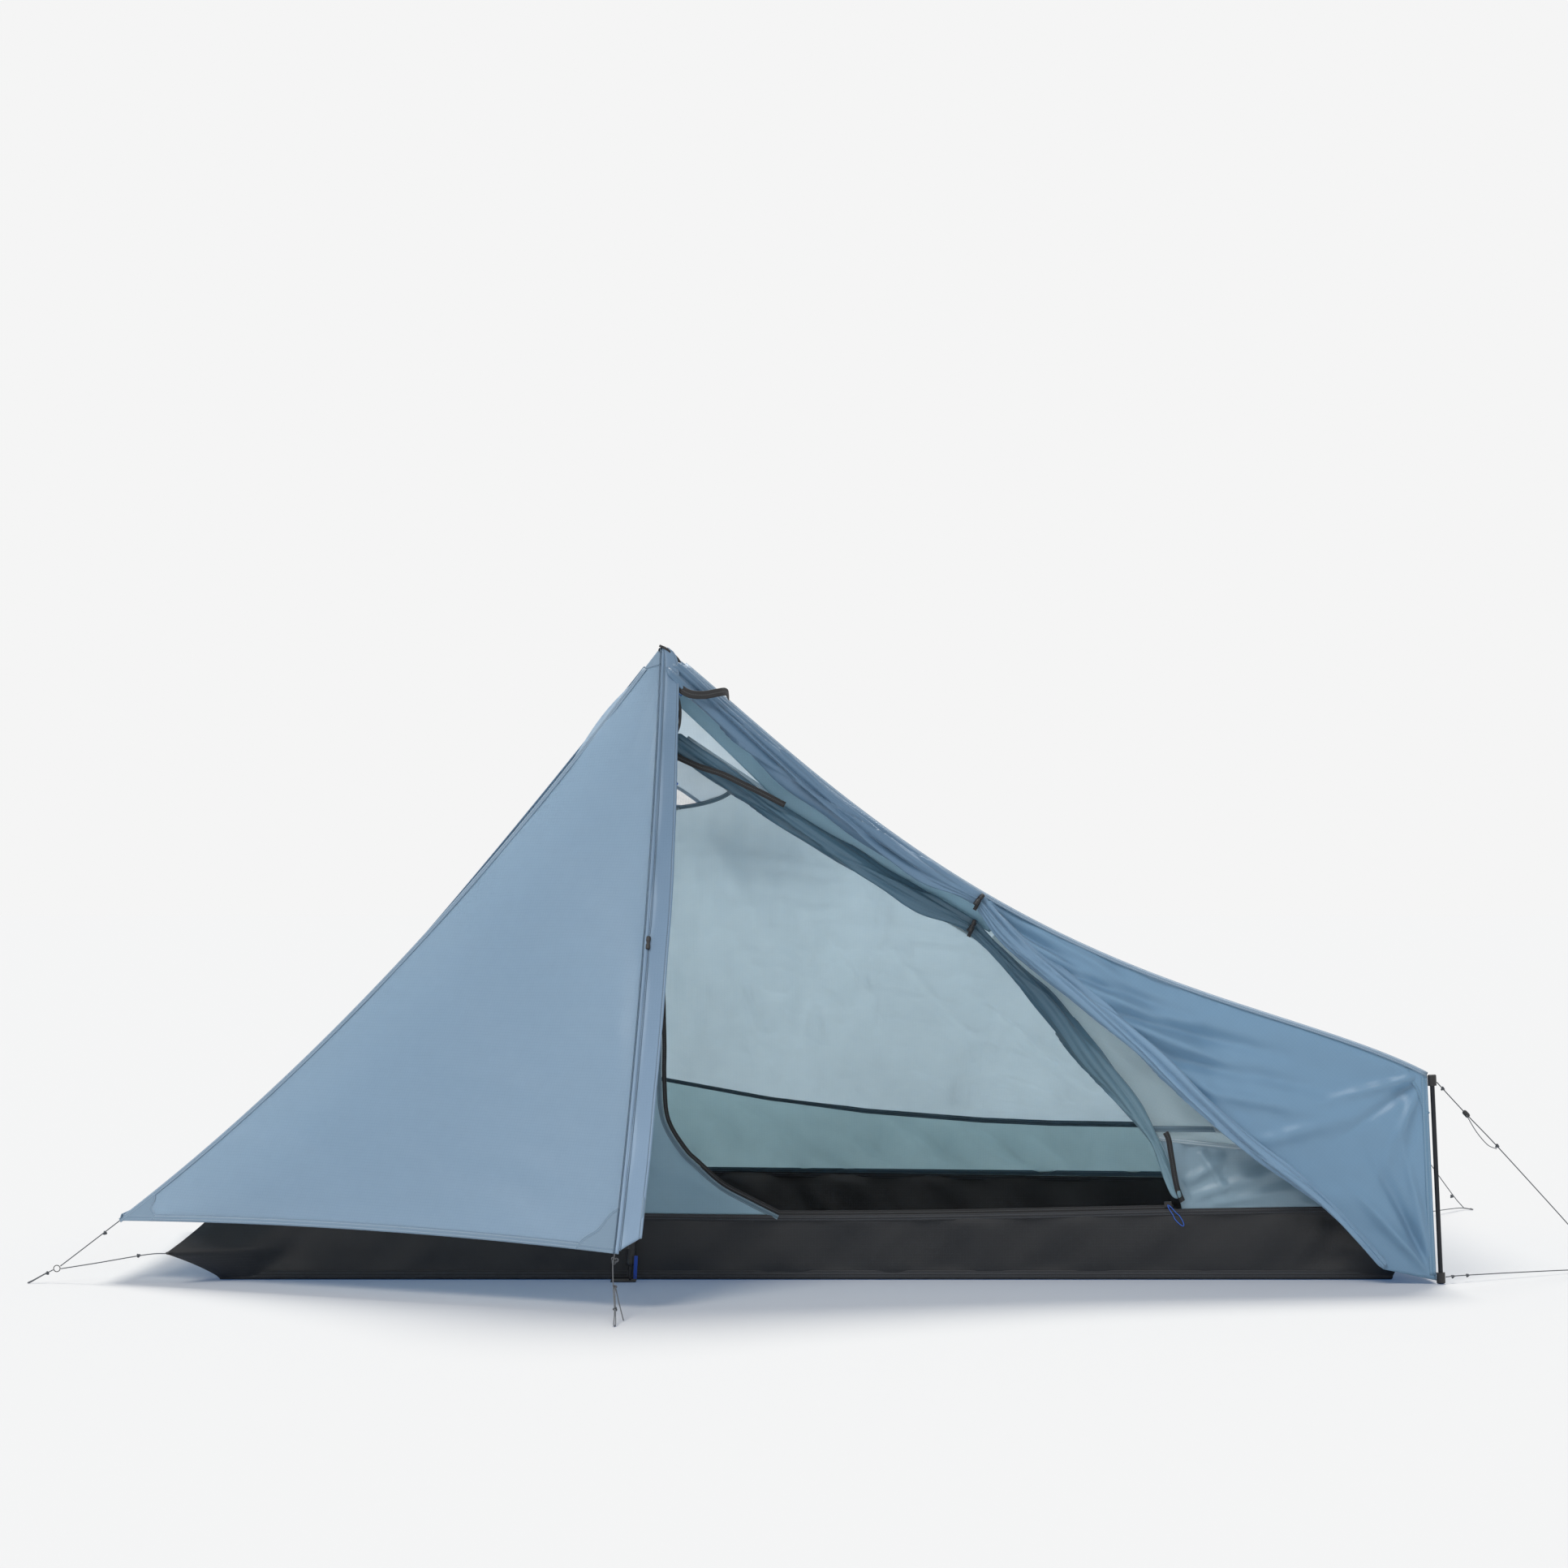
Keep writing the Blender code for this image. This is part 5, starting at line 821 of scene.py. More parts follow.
# The inner door: a D-shaped opening in the near wall. Pale cloth is left of its curved zip, and to its
# right a darker satin panel hangs gathered from a seam. The door itself is rolled up along the ridge, and
# TIE_ROW is the point of a rolled door's path that its tie draws in.
DOOR_LEFT, DOOR_CURVE, DOOR_RIGHT = -0.265, 0.215, 0.686
RIGHT_SHARE, FOOT_SHARE = ((x - HEAD) / (FOOT - HEAD) for x in (DOOR_RIGHT, DOOR_LEFT + DOOR_CURVE))
IN_TIE_AT, TOGGLE_PINCH, TIE_ROW = 0.44, 0.010, 149
INNER_SHADE = fabric("inner_front_fabric", (144, 176, 192), rough=0.52, passes=0.34, tone=0.04, crinkle=0.4)
SATIN = fabric("inner_satin_fabric", (134, 160, 175), rough=0.30, passes=0.26, tone=0.05, crinkle=0.28, sheen=0.25,
               coat=0.12)


def door_edge():
    """The opening's left edge: straight down from the peak, then a curve out to the rim."""
    start, low = inner_seam(IN_HEAD_SEAM)(0.0) + (0.012, 0, 0), NEAR_TOP(FOOT_SHARE)
    bends = [(DOOR_LEFT, 0.520), (-0.263, 0.430), (-0.263, 0.362), (-0.256, 0.292), (-0.224, 0.237), (-0.197, 0.210),
             (-0.154, 0.172), (-0.104, 0.145)]
    curve = through([(x, NEAR, z) for x, z in bends] + [low])
    points = np.vstack([start + (curve(0.0) - start) * np.linspace(0, 1, 60)[:-1, None], curve(np.linspace(0, 1, 60))])
    marks = along(points) / along(points)[-1]
    return (lambda share: np.stack([np.interp(share, marks, points[:, k]) for k in range(3)], axis=-1)), points


edge, edge_points = door_edge()
left = inner_seam(IN_HEAD_SEAM)
s, t = shares(110, 80)
grid = coons(left, edge, span(left(0.0), edge(0.0)), part_of(NEAR_TOP, 0.0, FOOT_SHARE), s, t, hold=6)
push = held_round(s, t, bottom=0.02, right=0.03) * (
    waves(grid[..., ::2], 41, 0.12, 0.0030, 0.2, 0.4)
    + crease(grid, (-0.10, NEAR, 0.145), (-0.60, NEAR, 0.33), 0.020, 0.005)
    + crease(grid, (-0.16, NEAR, 0.17), (-0.42, NEAR, 0.50), 0.018, 0.004))
sheet("inner_front_left_cloth", grid, push, INNER_SHADE, "inner_cloth", ["inner_front_left"])

start = IN_RIDGE(IN_TIE_AT + 0.03) + np.array([-0.012, 0, -0.016])
places = [(0.372, 0.576), (0.438, 0.507), (0.512, 0.414), (0.586, 0.330), (0.638, 0.258), (0.666, 0.190)]
left = through([start] + [(x + 0.004, NEAR, z + 0.004) for x, z in places] + [NEAR_TOP(RIGHT_SHARE)])
right = joined(part_of(IN_RIDGE, IN_TIE_AT + 0.03, 1.0), span(IN_NEAR_CORNER, NEAR_TOP(1.0)), 0.80)


def near_right(s, t):
    """The near wall right of the door at shares s down it and t across it."""
    return coons(left, right, span(left(0.0), right(0.0)), part_of(NEAR_TOP, RIGHT_SHARE, 1.0), s, t, hold=4)


GATHER = 0.62
s, t = shares(split(160, GATHER, 0.80), 170)
seam_row = met(near_right, np.linspace(0.3, 0.95, 1200), t[0], [0.60, 0.67, 0.781, 1.034],
               [0.262, 0.2546, 0.2427, 0.2180])[None]
below = seam_row + (1 - seam_row) * (s - GATHER) / (1 - GATHER)
grid = near_right(np.where(s < GATHER, seam_row * s / GATHER, below), t)
turn = int(np.argmin(np.abs(s[:, 0] - GATHER)))
near_seam = np.exp(-((s - GATHER) / 0.16) ** 2)
x = grid[..., 0]
pleat = np.sin(x / 0.0125 + 1.7 * np.sin(x / 0.061) + 0.7 * np.sin(x / 0.023 + 2.0))
pleat = pleat + 0.45 * np.sin(x / 0.0054 + 1.0)
loose = held_round(s, t, 0.03, 0.02, 0.02, 0.03) * held(s - GATHER, 0.012)
folds = pleat * near_seam * np.where(s > GATHER, 0.0026, 0.0006)
folds = folds + waves(grid[..., ::2], 43, 0.075, 0.0030, 1.1, 0.35)
for start, end, wide, high in (((0.70, NEAR, 0.150), (0.98, NEAR, 0.235), 0.012, 0.009),
                               ((0.69, NEAR, 0.175), (0.80, NEAR, 0.245), 0.010, 0.008),
                               ((0.74, NEAR, 0.138), (1.03, NEAR, 0.190), 0.012, 0.008),
                               ((0.72, NEAR, 0.235), (0.78, NEAR, 0.140), 0.008, 0.006),
                               ((0.40, NEAR, 0.56), (0.70, NEAR, 0.30), 0.020, 0.006)):
    folds = folds + crease(grid, start, end, wide, high)
sheet("inner_front_right_cloth", grid[:turn + 1], (folds * loose)[:turn + 1], INNER, "inner_cloth",
      ["inner_front_right"], level=IN_NEAR_CORNER - start)
sheet("inner_front_right_low_cloth", grid[turn:], (folds * loose)[turn:], SATIN, "inner_cloth",
      ["inner_front_right_low"])
band("inner_gather_seam", grid[turn] + (0, -0.0010, 0), FRONT, 0.0080, 0.0020, INNER_SEAM, "inner_cloth")
tape = route([(0.625, -0.4400, 0.2757), (0.70, -0.4400, 0.2752), (0.86, -0.4400, 0.2740)], 60)
band("inner_near_tape", tape, FRONT, 0.0105, 0.0016, INNER_TAPE, "inner_cloth")

# The zip of the inner door: a coil on black tape down the curved edge and along the rim, with a slider
# at its far end whose cord pull hangs in a loop.
ZIP = fabric("zip_tape", (27, 27, 29), rough=0.72, passes=0.0, grid=0.0014, crinkle=0.15, rows=(0.0,),
             thread=(66, 68, 70), weave=0.6)
flat_part = NEAR_TOP(np.linspace(FOOT_SHARE, RIGHT_SHARE, 90))
line = np.vstack([edge_points[14:-1], flat_part]) + (0, 0.0006, 0)


def up_from(path):
    """The direction square to a path and to the front, on the side away from the ground."""
    ahead = unit(np.gradient(path, axis=0))
    return np.cross(unit(FRONT + ahead * ahead[:, 1:2]), ahead)


zip_line = line + up_from(line) * 0.0046
zip_line = zip_line[zip_line[:, 0] < DOOR_RIGHT - 0.016]
band("inner_zip_tape_cloth", zip_line, FRONT, 0.0080, 0.0014, ZIP, "black_webbing", ["inner_zip_tape"])
riser = route([(0.652, -0.4800, 0.2720), (0.658, -0.4780, 0.2580), (0.664, -0.4740, 0.2240),
               (0.674, -0.4660, 0.1720), (0.686, -0.4500, 0.1440)], 50)
band("inner_zip_riser", riser, (0.3, -1, 0), 0.0110, 0.0014, ZIP, "black_webbing")
binding = (line - up_from(line) * 0.0044 - (0, 0.0022, 0))[:len(edge_points) - 14]
band("inner_door_binding", binding, FRONT, 0.0090, 0.0020, INNER_TAPE, "inner_cloth")


# The fly: five panels of silicone-coated ripstop, felled together along seams that run up to the peak.
# Its hems are turned twice and stitched, and a second layer is sewn over each corner and over the peak.
FLY = fabric("fly_fabric", (142, 167, 191), rough=0.36, passes=0.56, glow=(0.88, 0.95, 0.98), grid=0.0056,
             crinkle=0.34, tone=0.035, sheen=0.06)
FLY_SEAM = fabric("fly_seam_fabric", (112, 136, 158), rough=0.48, passes=0.08, rows=(-0.0030, 0.0030),
                  thread=(150, 170, 186), crinkle=0.6)
FLY_PATCH = fabric("fly_patch_fabric", (118, 142, 163), rough=0.48, passes=0.10, crinkle=0.45)
HEAD_SEAM = span(PEAK, HEAD_NEAR, (0, 0, -0.072))
BACK_SEAM = span(PEAK, HEAD_FAR, (0, 0, -0.030))
RIDGE = span(PEAK, FOOT_NEAR, (0, 0, -0.123), 1.3, 1.6)
BACK_RIDGE = span(PEAK, FOOT_FAR, (0, 0, -0.123), 1.3, 1.6)
ZIP_LINE = span(PEAK, PORCH, (0.010, 0, 0))
FOOT_TOP = span(FOOT_NEAR, FOOT_FAR, (0, 0, -0.024))
APEX_SHARE, BACK_TURN, VENT_TOP, VENT_LOW = 0.030, 0.78, 0.05, 0.238
FLAP_OUT = unit((1.0, 0.15, 0.0))
N_FLAP = np.cross(FLAP_OUT, UP)


def below_apex(seam):
    """A seam from the apex patch down to its corner."""
    return part_of(seam, APEX_SHARE, 1.0)


def soft_folds(grid, folds):
    """The heights of several creases, each (start, end, half width, height)."""
    return sum(crease(grid, *fold) for fold in folds)


# The front panel is the wide triangle left of the doors. Creases run into its two lower corners.
FRONT_HEM = span(HEAD_NEAR, PORCH, (0, 0, 0.012))


def front_at(s, t):
    """The front panel's face at shares s down it and t across it."""
    left, right = below_apex(HEAD_SEAM), below_apex(ZIP_LINE)
    return coons(left, right, across_top(left, right), FRONT_HEM, s, t)


s, t = shares(170, 150)
front = front_at(s, t)
loose = held_round(s, t, 0.05, 0.02, 0.045, 0.035)
folds = waves(front[..., ::2], 51, 0.30, 0.0050, 0.9, 0.5)
folds = folds + waves(front[..., ::2], 52, 0.085, 0.0009, 1.2, 0.5)
folds = folds + soft_folds(front, [
    (PORCH, (-0.72, -0.73, 0.42), 0.030, 0.0050), (PORCH, (-0.58, -0.72, 0.55), 0.024, 0.0040),
    (PORCH, (-0.82, -0.70, 0.25), 0.026, 0.0045), (PORCH, (-0.45, -0.70, 0.72), 0.022, 0.0040),
    (HEAD_NEAR, (-0.82, -0.62, 0.33), 0.022, 0.0050), (HEAD_NEAR, (-0.90, -0.60, 0.22), 0.018, 0.0040),
    (HEAD_NEAR, (-0.80, -0.55, 0.48), 0.016, 0.0035), (PEAK, (-0.55, -0.68, 0.62), 0.022, 0.0040),
    (PEAK, (-0.42, -0.68, 0.60), 0.018, 0.0035)])
sheet("fly_front_cloth", front, folds * loose, FLY, "fly_cloth", ["fly_front_panel"])

# The head end slopes down at the left, between the two seams to the head corners.
head_edge = span(HEAD_FAR, HEAD_NEAR, (0.03, 0, 0.012))
s, t, grid = panel(below_apex(BACK_SEAM), below_apex(HEAD_SEAM), head_edge, 150, 110)
loose = held_round(s, t, 0.05, 0.02)
folds = waves(grid[..., 1:], 53, 0.26, 0.0050, 0.7, 0.5)
folds = folds + soft_folds(grid, [(HEAD_NEAR, (-0.90, -0.10, 0.45), 0.026, 0.006),
                                  (HEAD_FAR, (-0.90, 0.15, 0.45), 0.026, 0.006),
                                  (PEAK, (-0.85, -0.05, 0.55), 0.030, 0.005)])
sheet("fly_head_cloth", grid, folds * loose, FLY, "fly_cloth", ["fly_head_end"])
head_hem = grid[-1]

# The roof runs from the peak to the tops of the foot struts, and the foot end hangs upright below it.
s, t, grid = panel(below_apex(RIDGE), below_apex(BACK_RIDGE), FOOT_TOP, 160, 90)
loose = held_round(s, t, 0.05, 0.06, 0.08, 0.08)
folds = waves(grid[..., :2], 54, 0.24, 0.0045, 0.2, 0.4)
folds = folds + soft_folds(grid, [(PEAK, (0.55, -0.20, 0.55), 0.026, -0.006), (PEAK, (0.60, 0.10, 0.55), 0.030, -0.006),
                                  (FOOT_NEAR, (0.45, -0.15, 0.60), 0.024, -0.005),
                                  (FOOT_FAR, (0.45, 0.20, 0.62), 0.026, -0.005)])
sheet("fly_roof_cloth", grid, folds * loose, FLY, "fly_cloth", ["fly_roof_panel"])
s, t = shares(60, 110)
grid = coons(span(FOOT_NEAR, FOOT_NEAR_LOW), span(FOOT_FAR, FOOT_FAR_LOW), FOOT_TOP,
             span(FOOT_NEAR_LOW, FOOT_FAR_LOW, (0, 0, 0.05)), s, t)
loose = held_round(s, t, 0.08, 0.03, 0.04, 0.04)
folds = waves(grid[..., 1:], 55, 0.18, 0.0032, 0.5, 0.5)
folds = folds + soft_folds(grid, [(FOOT_NEAR, (1.135, 0.02, 0.06), 0.022, 0.006),
                                  (FOOT_FAR, (1.135, 0.04, 0.06), 0.022, 0.006),
                                  (FOOT_NEAR_LOW, (1.13, -0.02, 0.22), 0.018, 0.005),
                                  (FOOT_FAR_LOW, (1.13, 0.08, 0.22), 0.018, 0.005)])
sheet("fly_foot_cloth", grid, folds * loose, FLY, "fly_cloth", ["fly_foot_end"])
foot_hem = grid[-1]

# The back panel slopes to the rear hem and has a vent below the peak, under a hood that a stiffener
# props out at its lower edge.
BACK_RIGHT = joined(below_apex(BACK_RIDGE), span(FOOT_FAR, FOOT_FAR_LOW), BACK_TURN)


def back_at(s, t):
    """The back panel's face at shares s down it and t across it."""
    left, low = below_apex(BACK_SEAM), span(HEAD_FAR, FOOT_FAR_LOW, (0, -0.02, 0.012))
    return coons(left, BACK_RIGHT, across_top(left, BACK_RIGHT), low, s, t)


# The hole ends above the hood's lower edge, so that no lamp shines straight in.
sill = VENT_LOW - 0.030
s, t = shares(split(150, VENT_TOP, sill, BACK_TURN), split(150, 0.25, 0.75))
grid = back_at(s, t)
rows = np.array([int(np.argmin(np.abs(s[:, 0] - share))) for share in (VENT_TOP, sill)])
cols = np.array([int(np.argmin(np.abs(t[0] - share))) for share in (0.25, 0.75)])
keep = np.ones((s.shape[0] - 1, s.shape[1] - 1), bool)
keep[rows[0]:rows[1], cols[0]:cols[1]] = False
loose = held_round(s, t, 0.05, 0.02, 0.05, 0.05)
loose = loose * (1 - np.exp(-(np.maximum(np.abs(t - 0.5) - 0.25, 0) + np.maximum(s - sill, 0)) ** 2 / 0.06 ** 2))
folds = waves(grid[..., ::2], 56, 0.28, 0.0050, 0.9, 0.5)
folds = folds + soft_folds(grid, [(HEAD_FAR, (-0.55, 0.30, 0.45), 0.028, 0.006),
                                  (FOOT_FAR, (0.30, 0.35, 0.45), 0.028, 0.006),
                                  (FOOT_FAR_LOW, (0.55, 0.45, 0.25), 0.024, 0.006)])
sheet("fly_back_cloth", grid, folds * loose, FLY, "fly_cloth", ["fly_back_panel"], keep)
back_hem = grid[-1]
hole = np.vstack([grid[rows[0], cols[0]:cols[1]], grid[rows[0]:rows[1], cols[1]],
                  grid[rows[1], cols[0]:cols[1] + 1][::-1], grid[rows[0]:rows[1] + 1, cols[0]][::-1][1:-1]])
back_out = unit(normals_of(grid).mean(axis=(0, 1)))
band("vent_binding", hole + back_out * 0.0002, back_out, 0.0120, 0.0024, FLY_SEAM, "fly_cloth", hoop=True)

# The hood bows outwards, and its lower edge rises in an arch: by cos^2 of the distance from its top.
s, t = shares(np.linspace(0.027, VENT_LOW + 0.020, 60), np.linspace(0.22, 0.78, 60))
down = (s - s[0, 0]) / (s[-1, 0] - s[0, 0])
s = s - 0.0595 * down * np.cos(np.pi / 2 * np.clip((t - 0.36) / 0.176, -1, 1)) ** 2
ground = back_at(s, t)
side = 1 - np.abs((t - 0.5) / 0.28)
lift = 0.0021 + 0.055 * down ** 1.2 * np.sin(np.pi / 2 * side) ** 0.9
hood = ground + normals_of(ground) * lift[..., None]
HOOD = fabric("vent_hood_fabric", (142, 167, 191), rough=0.40, passes=0.47, glow=(0.90, 0.96, 0.97), grid=0.0056)
push = held(side, 0.2) * held(down, 0.2) * waves(hood[..., ::2], 57, 0.08, 0.0014)
sheet("vent_hood_cloth", hood, push, HOOD, "fly_cloth", ["vent_hood"])
band("vent_hood_hem", hood[-1] + back_out * 0.0002, back_out, 0.0080, 0.0026, FLY_SEAM, "fly_cloth")

# Felled seams stand a little proud along the panels' edges, and hems run along the bottom.
for name, seam, front_way in (("head", HEAD_SEAM, (-0.75, -0.62, 0.25)), ("back", BACK_SEAM, (-0.6, 0.6, 0.5)),
                              ("ridge", RIDGE, (0.3, -0.75, 0.6)), ("rear_ridge", BACK_RIDGE, (0.3, 0.6, 0.75))):
    line = below_apex(seam)(np.linspace(0, 1, 120))
    band("fly_" + name + "_seam", line + unit(front_way) * 0.0004, front_way, 0.0110, 0.0026, FLY_SEAM, "fly_cloth")
for name, line, way in (("front", front[-1], normals_of(front)[-1]), ("head", head_hem, (-1.0, 0, 0.3)),
                        ("back", back_hem, (0, 1.0, 0.4)), ("foot", foot_hem, (1.0, 0, 0))):
    way = unit(way)
    up = unit(np.cross(way, np.gradient(line, axis=0)))
    up = up * np.sign(up[..., 2:3])
    band("fly_" + name + "_hem", line + up * 0.0066 + way * 0.0002, way, 0.0130, 0.0026, FLY_SEAM, "fly_cloth")


def corner_layer(name, surface, rows, cols, finish=FLY_PATCH, edging=FLY_SEAM):
    """A second layer over a panel's corner: shares s = 1 - rows q sin(a) and t = 1 - cols q cos(a).

    q goes from the corner outwards, and a from one edge to the other; the outer edge is drawn in between.
    Where cols is below zero, the corner lies at t = 0.
    """
    q, a = np.meshgrid(np.linspace(0.0, 1, 24), np.linspace(0, math.pi / 2, 34), indexing="ij")
    pull = 1 - 0.30 * np.sin(2 * a) ** 1.35
    s = 1 - rows * q * pull * np.sin(a)
    t = (1 - cols * q * pull * np.cos(a)) if cols > 0 else -cols * q * pull * np.cos(a)
    grid = surface(s, t)
    out = normals_of(grid)
    grid = grid + out * 0.0014
    line = grid[-1]
    piece = walled(mesh_over(name, grid[1:], flat_uv(grid)[1:], finish, centre=MIDDLE), 0.0010)
    dress(piece, "tent", "fly_cloth")
    band(name + "_edge", line - out[-1] * 0.0004, out[-1], 0.0060, 0.0016, edging, "fly_cloth")


corner_layer("porch_corner_layer", front_at, 0.070, 0.072)
corner_layer("head_corner_layer", front_at, 0.062, -0.068)

# The peak: a five-sided cap of doubled cloth over the pole's top, with a black webbing tab at its tip.
ring = [below_apex(seam)(0.0) for seam in (ZIP_LINE, HEAD_SEAM, BACK_SEAM, BACK_RIDGE, RIDGE)]
side = np.concatenate([ring[k] + (ring[(k + 1) % 5] - ring[k]) * np.linspace(0, 1, 12)[:-1, None] for k in range(5)])
q = np.linspace(0.04, 1.06, 22)[:, None, None]
cap = PEAK + (side[None] - PEAK) * q + UP * (0.0016 - 0.0030 * np.exp(-(q / 0.10) ** 2))
around = along(np.vstack([side, side[:1]]))
uv = np.stack(np.broadcast_arrays(around[None, :], q[..., 0] * 0.045), axis=-1)
cap_piece = walled(mesh_over("apex_cap_cloth", cap, uv, FLY_PATCH, closed=True, capped=False), 0.0010)
dress(cap_piece, "tent", "fly_cloth", "apex_patch")
t = np.linspace(0, math.tau, 30, endpoint=False)[:, None]
tab = PEAK + (0.002, 0, 0) + np.array([1.0, 0.1, 0]) * 0.0075 * np.sin(t) + UP * (0.0045 * np.cos(t) - 0.0060)
band("apex_tab", tab, np.array([1.0, 0, 0]) * np.sin(t) + UP * np.cos(t), 0.010, 0.0014, WEBBING, "black_webbing",
     hoop=True)
tape = route([(-0.2660, -0.4790, 1.1550), (-0.2540, -0.4810, 1.1495), (-0.2420, -0.4820, 1.1400),
              (-0.2330, -0.4830, 1.1310), (-0.2290, -0.4840, 1.1240)], 40)
band("apex_tape", tape, (0.3, -1.0, 0.5), 0.0050, 0.0014, WEBBING, "black_webbing")

# The storm flap: a doubled strip that hangs over the door's zip, stitched along both edges, with the
# zip's rib beside its seam. Its toggle sits halfway down, on a loop of cord, and the seams dip behind it
# so that its bar can turn.
PEG_SHARE = 0.505
rows, cols = np.linspace(0.0, 1.0, 150), np.linspace(0, 1, 16)
zip_rows = 0.003 + 0.997 * rows
wide = np.interp(zip_rows, [0.0, 0.012, 0.026, 0.05, 0.4, 1.0], [0.008, 0.024, 0.030, 0.033, 0.043, 0.043])
line = ZIP_LINE(zip_rows) + N_FLAP * 0.0022
flap = line[:, None] + FLAP_OUT * (wide[:, None, None] * cols[None, :, None])
flap = flap + unit(ZIP_LINE(0.9) - ZIP_LINE(1.0)) * 0.027 * (cols[None] * rows[:, None] ** 12)[..., None]
face = np.stack(np.broadcast_arrays(flap[..., 2], cols * 0.05), axis=-1)
ripple = waves(face, 61, 0.17, 0.0022, 0.1, 0.2)
ripple = held(cols, 0.2)[None] * (ripple - ripple.min() * 0.9 + 0.0012 * cols[None] ** 2)
uv = np.stack(np.broadcast_arrays(along(line)[:, None], (cols - 0.5)[None] * 0.043), axis=-1)
# Painted shade: the storm flap is darker at its top and turns to a paler colour from 0.30 m to 1.15 m down its length.
FLAP = fabric("storm_flap_fabric", (104, 131, 157), rough=0.42, passes=0.16, rows=(-0.0150, 0.0170),
              thread=(76, 96, 114), crinkle=0.40, tone=0.04, later=((138, 164, 190), 0.30, 1.15))
sheet("storm_flap_cloth", flap, ripple, FLAP, "fly_cloth", ["storm_flap"], thick=0.0011, uv=uv)
rib = line + FLAP_OUT * 0.0034 + N_FLAP * 0.0008
band("storm_flap_rib", rib, N_FLAP, 0.0062, 0.0030, FLAP, "fly_cloth")
DARK_SEAM = fabric("flap_seam_fabric", (84, 106, 126), rough=0.55, passes=0.0, crinkle=0.6, weave=0.4)
seam_dip = 0.0030 * np.exp(-((zip_rows - PEG_SHARE) / 0.016) ** 2)[:, None]
flap_seam = flap[:, 3] + N_FLAP * (ripple[:, 3:4] + 0.0004 - 0.6 * seam_dip)
band("storm_flap_seam", flap_seam, N_FLAP, 0.0017, 0.0014, DARK_SEAM, "fly_cloth")
panel_seam = line - FLAP_OUT * 0.0026 + N_FLAP * (0.0004 - seam_dip)
band("storm_flap_panel_seam", panel_seam, N_FLAP, 0.0018, 0.0016, DARK_SEAM, "fly_cloth")
edge_line = flap[:, -1] - FLAP_OUT * 0.0030 + N_FLAP * 0.0002
band("storm_flap_hem", edge_line, N_FLAP, 0.0064, 0.0024, FLY_SEAM, "fly_cloth")
across = cols[None, :, None]
tape = line[:, None] + FLAP_OUT * (0.003 + 0.022 * across) - N_FLAP * (0.0015 + 0.0042 * across)
uv = np.stack(np.broadcast_arrays(along(line)[:, None], (cols - 0.90)[None] * 0.022), axis=-1)
sheet("door_zip_tape_cloth", tape[8:-1], np.zeros(tape.shape[:2])[8:-1], ZIP, "black_webbing", ["door_zip_tape"],
      thick=0.0009, uv=uv[8:-1])
free = route([(-0.2330, -0.5040, 1.0640), (-0.2290, -0.5060, 1.0500), (-0.2270, -0.5110, 1.0320),
              (-0.2285, -0.5200, 1.0100), (-0.2330, -0.5260, 0.9960)], 50)
band("door_zip_free_edge", free, (0.5, -1, 0), 0.0050, 0.0014, ZIP, "black_webbing")
peg_place = ZIP_LINE(PEG_SHARE) + FLAP_OUT * 0.006 + N_FLAP * 0.0020
t = np.linspace(0, math.tau, 26, endpoint=False)[:, None]
loop = peg_place + FRONT * (0.0058 * np.cos(t) - 0.001)
loop = loop + (FLAP_OUT * 0.0016 + UP * 0.0040) * np.sin(t)
loop = tube("flap_toggle_loop", loop, 0.0007, GUYLINE, sides=8, hoop=True, front=(0, 0, 1))
dress(loop, "flap_toggle", "guyline")

# The fly's door is rolled up under the ridge to its tie, then it runs on as a loose twist down to the
# near strut's foot. Its section has lobes that turn along it, and a step where the cloth's edge lies.
ROLL_START, TOGGLE_AT = 0.018, 0.42


def pinched(distance, full, pinch, reach):
    """Radius of a roll that a toggle draws in: full + (pinch - full) exp(-(distance / reach)^2)."""
    return full + (pinch - full) * np.exp(-(distance / reach) ** 2)


def tied_roll(edge, lower, hang, full_front, full_up, reach):
    """Path and two radii of a roll that hangs under an edge to its toggle, then follows a lower line."""
    distance = along(edge) - along(edge)[-1]
    upper = edge - up_from(edge) * (pinched(distance, full_up, TOGGLE_PINCH, reach) + hang)[:, None]
    path = np.vstack([upper, lower(upper[-1])])
    distance = along(path) - along(path)[len(edge) - 1]
    taper = np.clip((along(path)[-1] - along(path)) / 0.30, 0.38, 1.0)
    radii = [pinched(distance, full, TOGGLE_PINCH, reach) * taper for full in (full_front, full_up)]
    return path, *radii, distance


def ridge(angle):
    """A sharp fold: 1 - 2 |sin(angle / 2)|."""
    return 1 - 2 * np.abs(np.sin(angle / 2))


def groove(angle):
    """A narrow valley: exp(-(sin(angle / 2) / 0.13)^2)."""
    return np.exp(-(np.sin(angle / 2) / 0.13) ** 2)


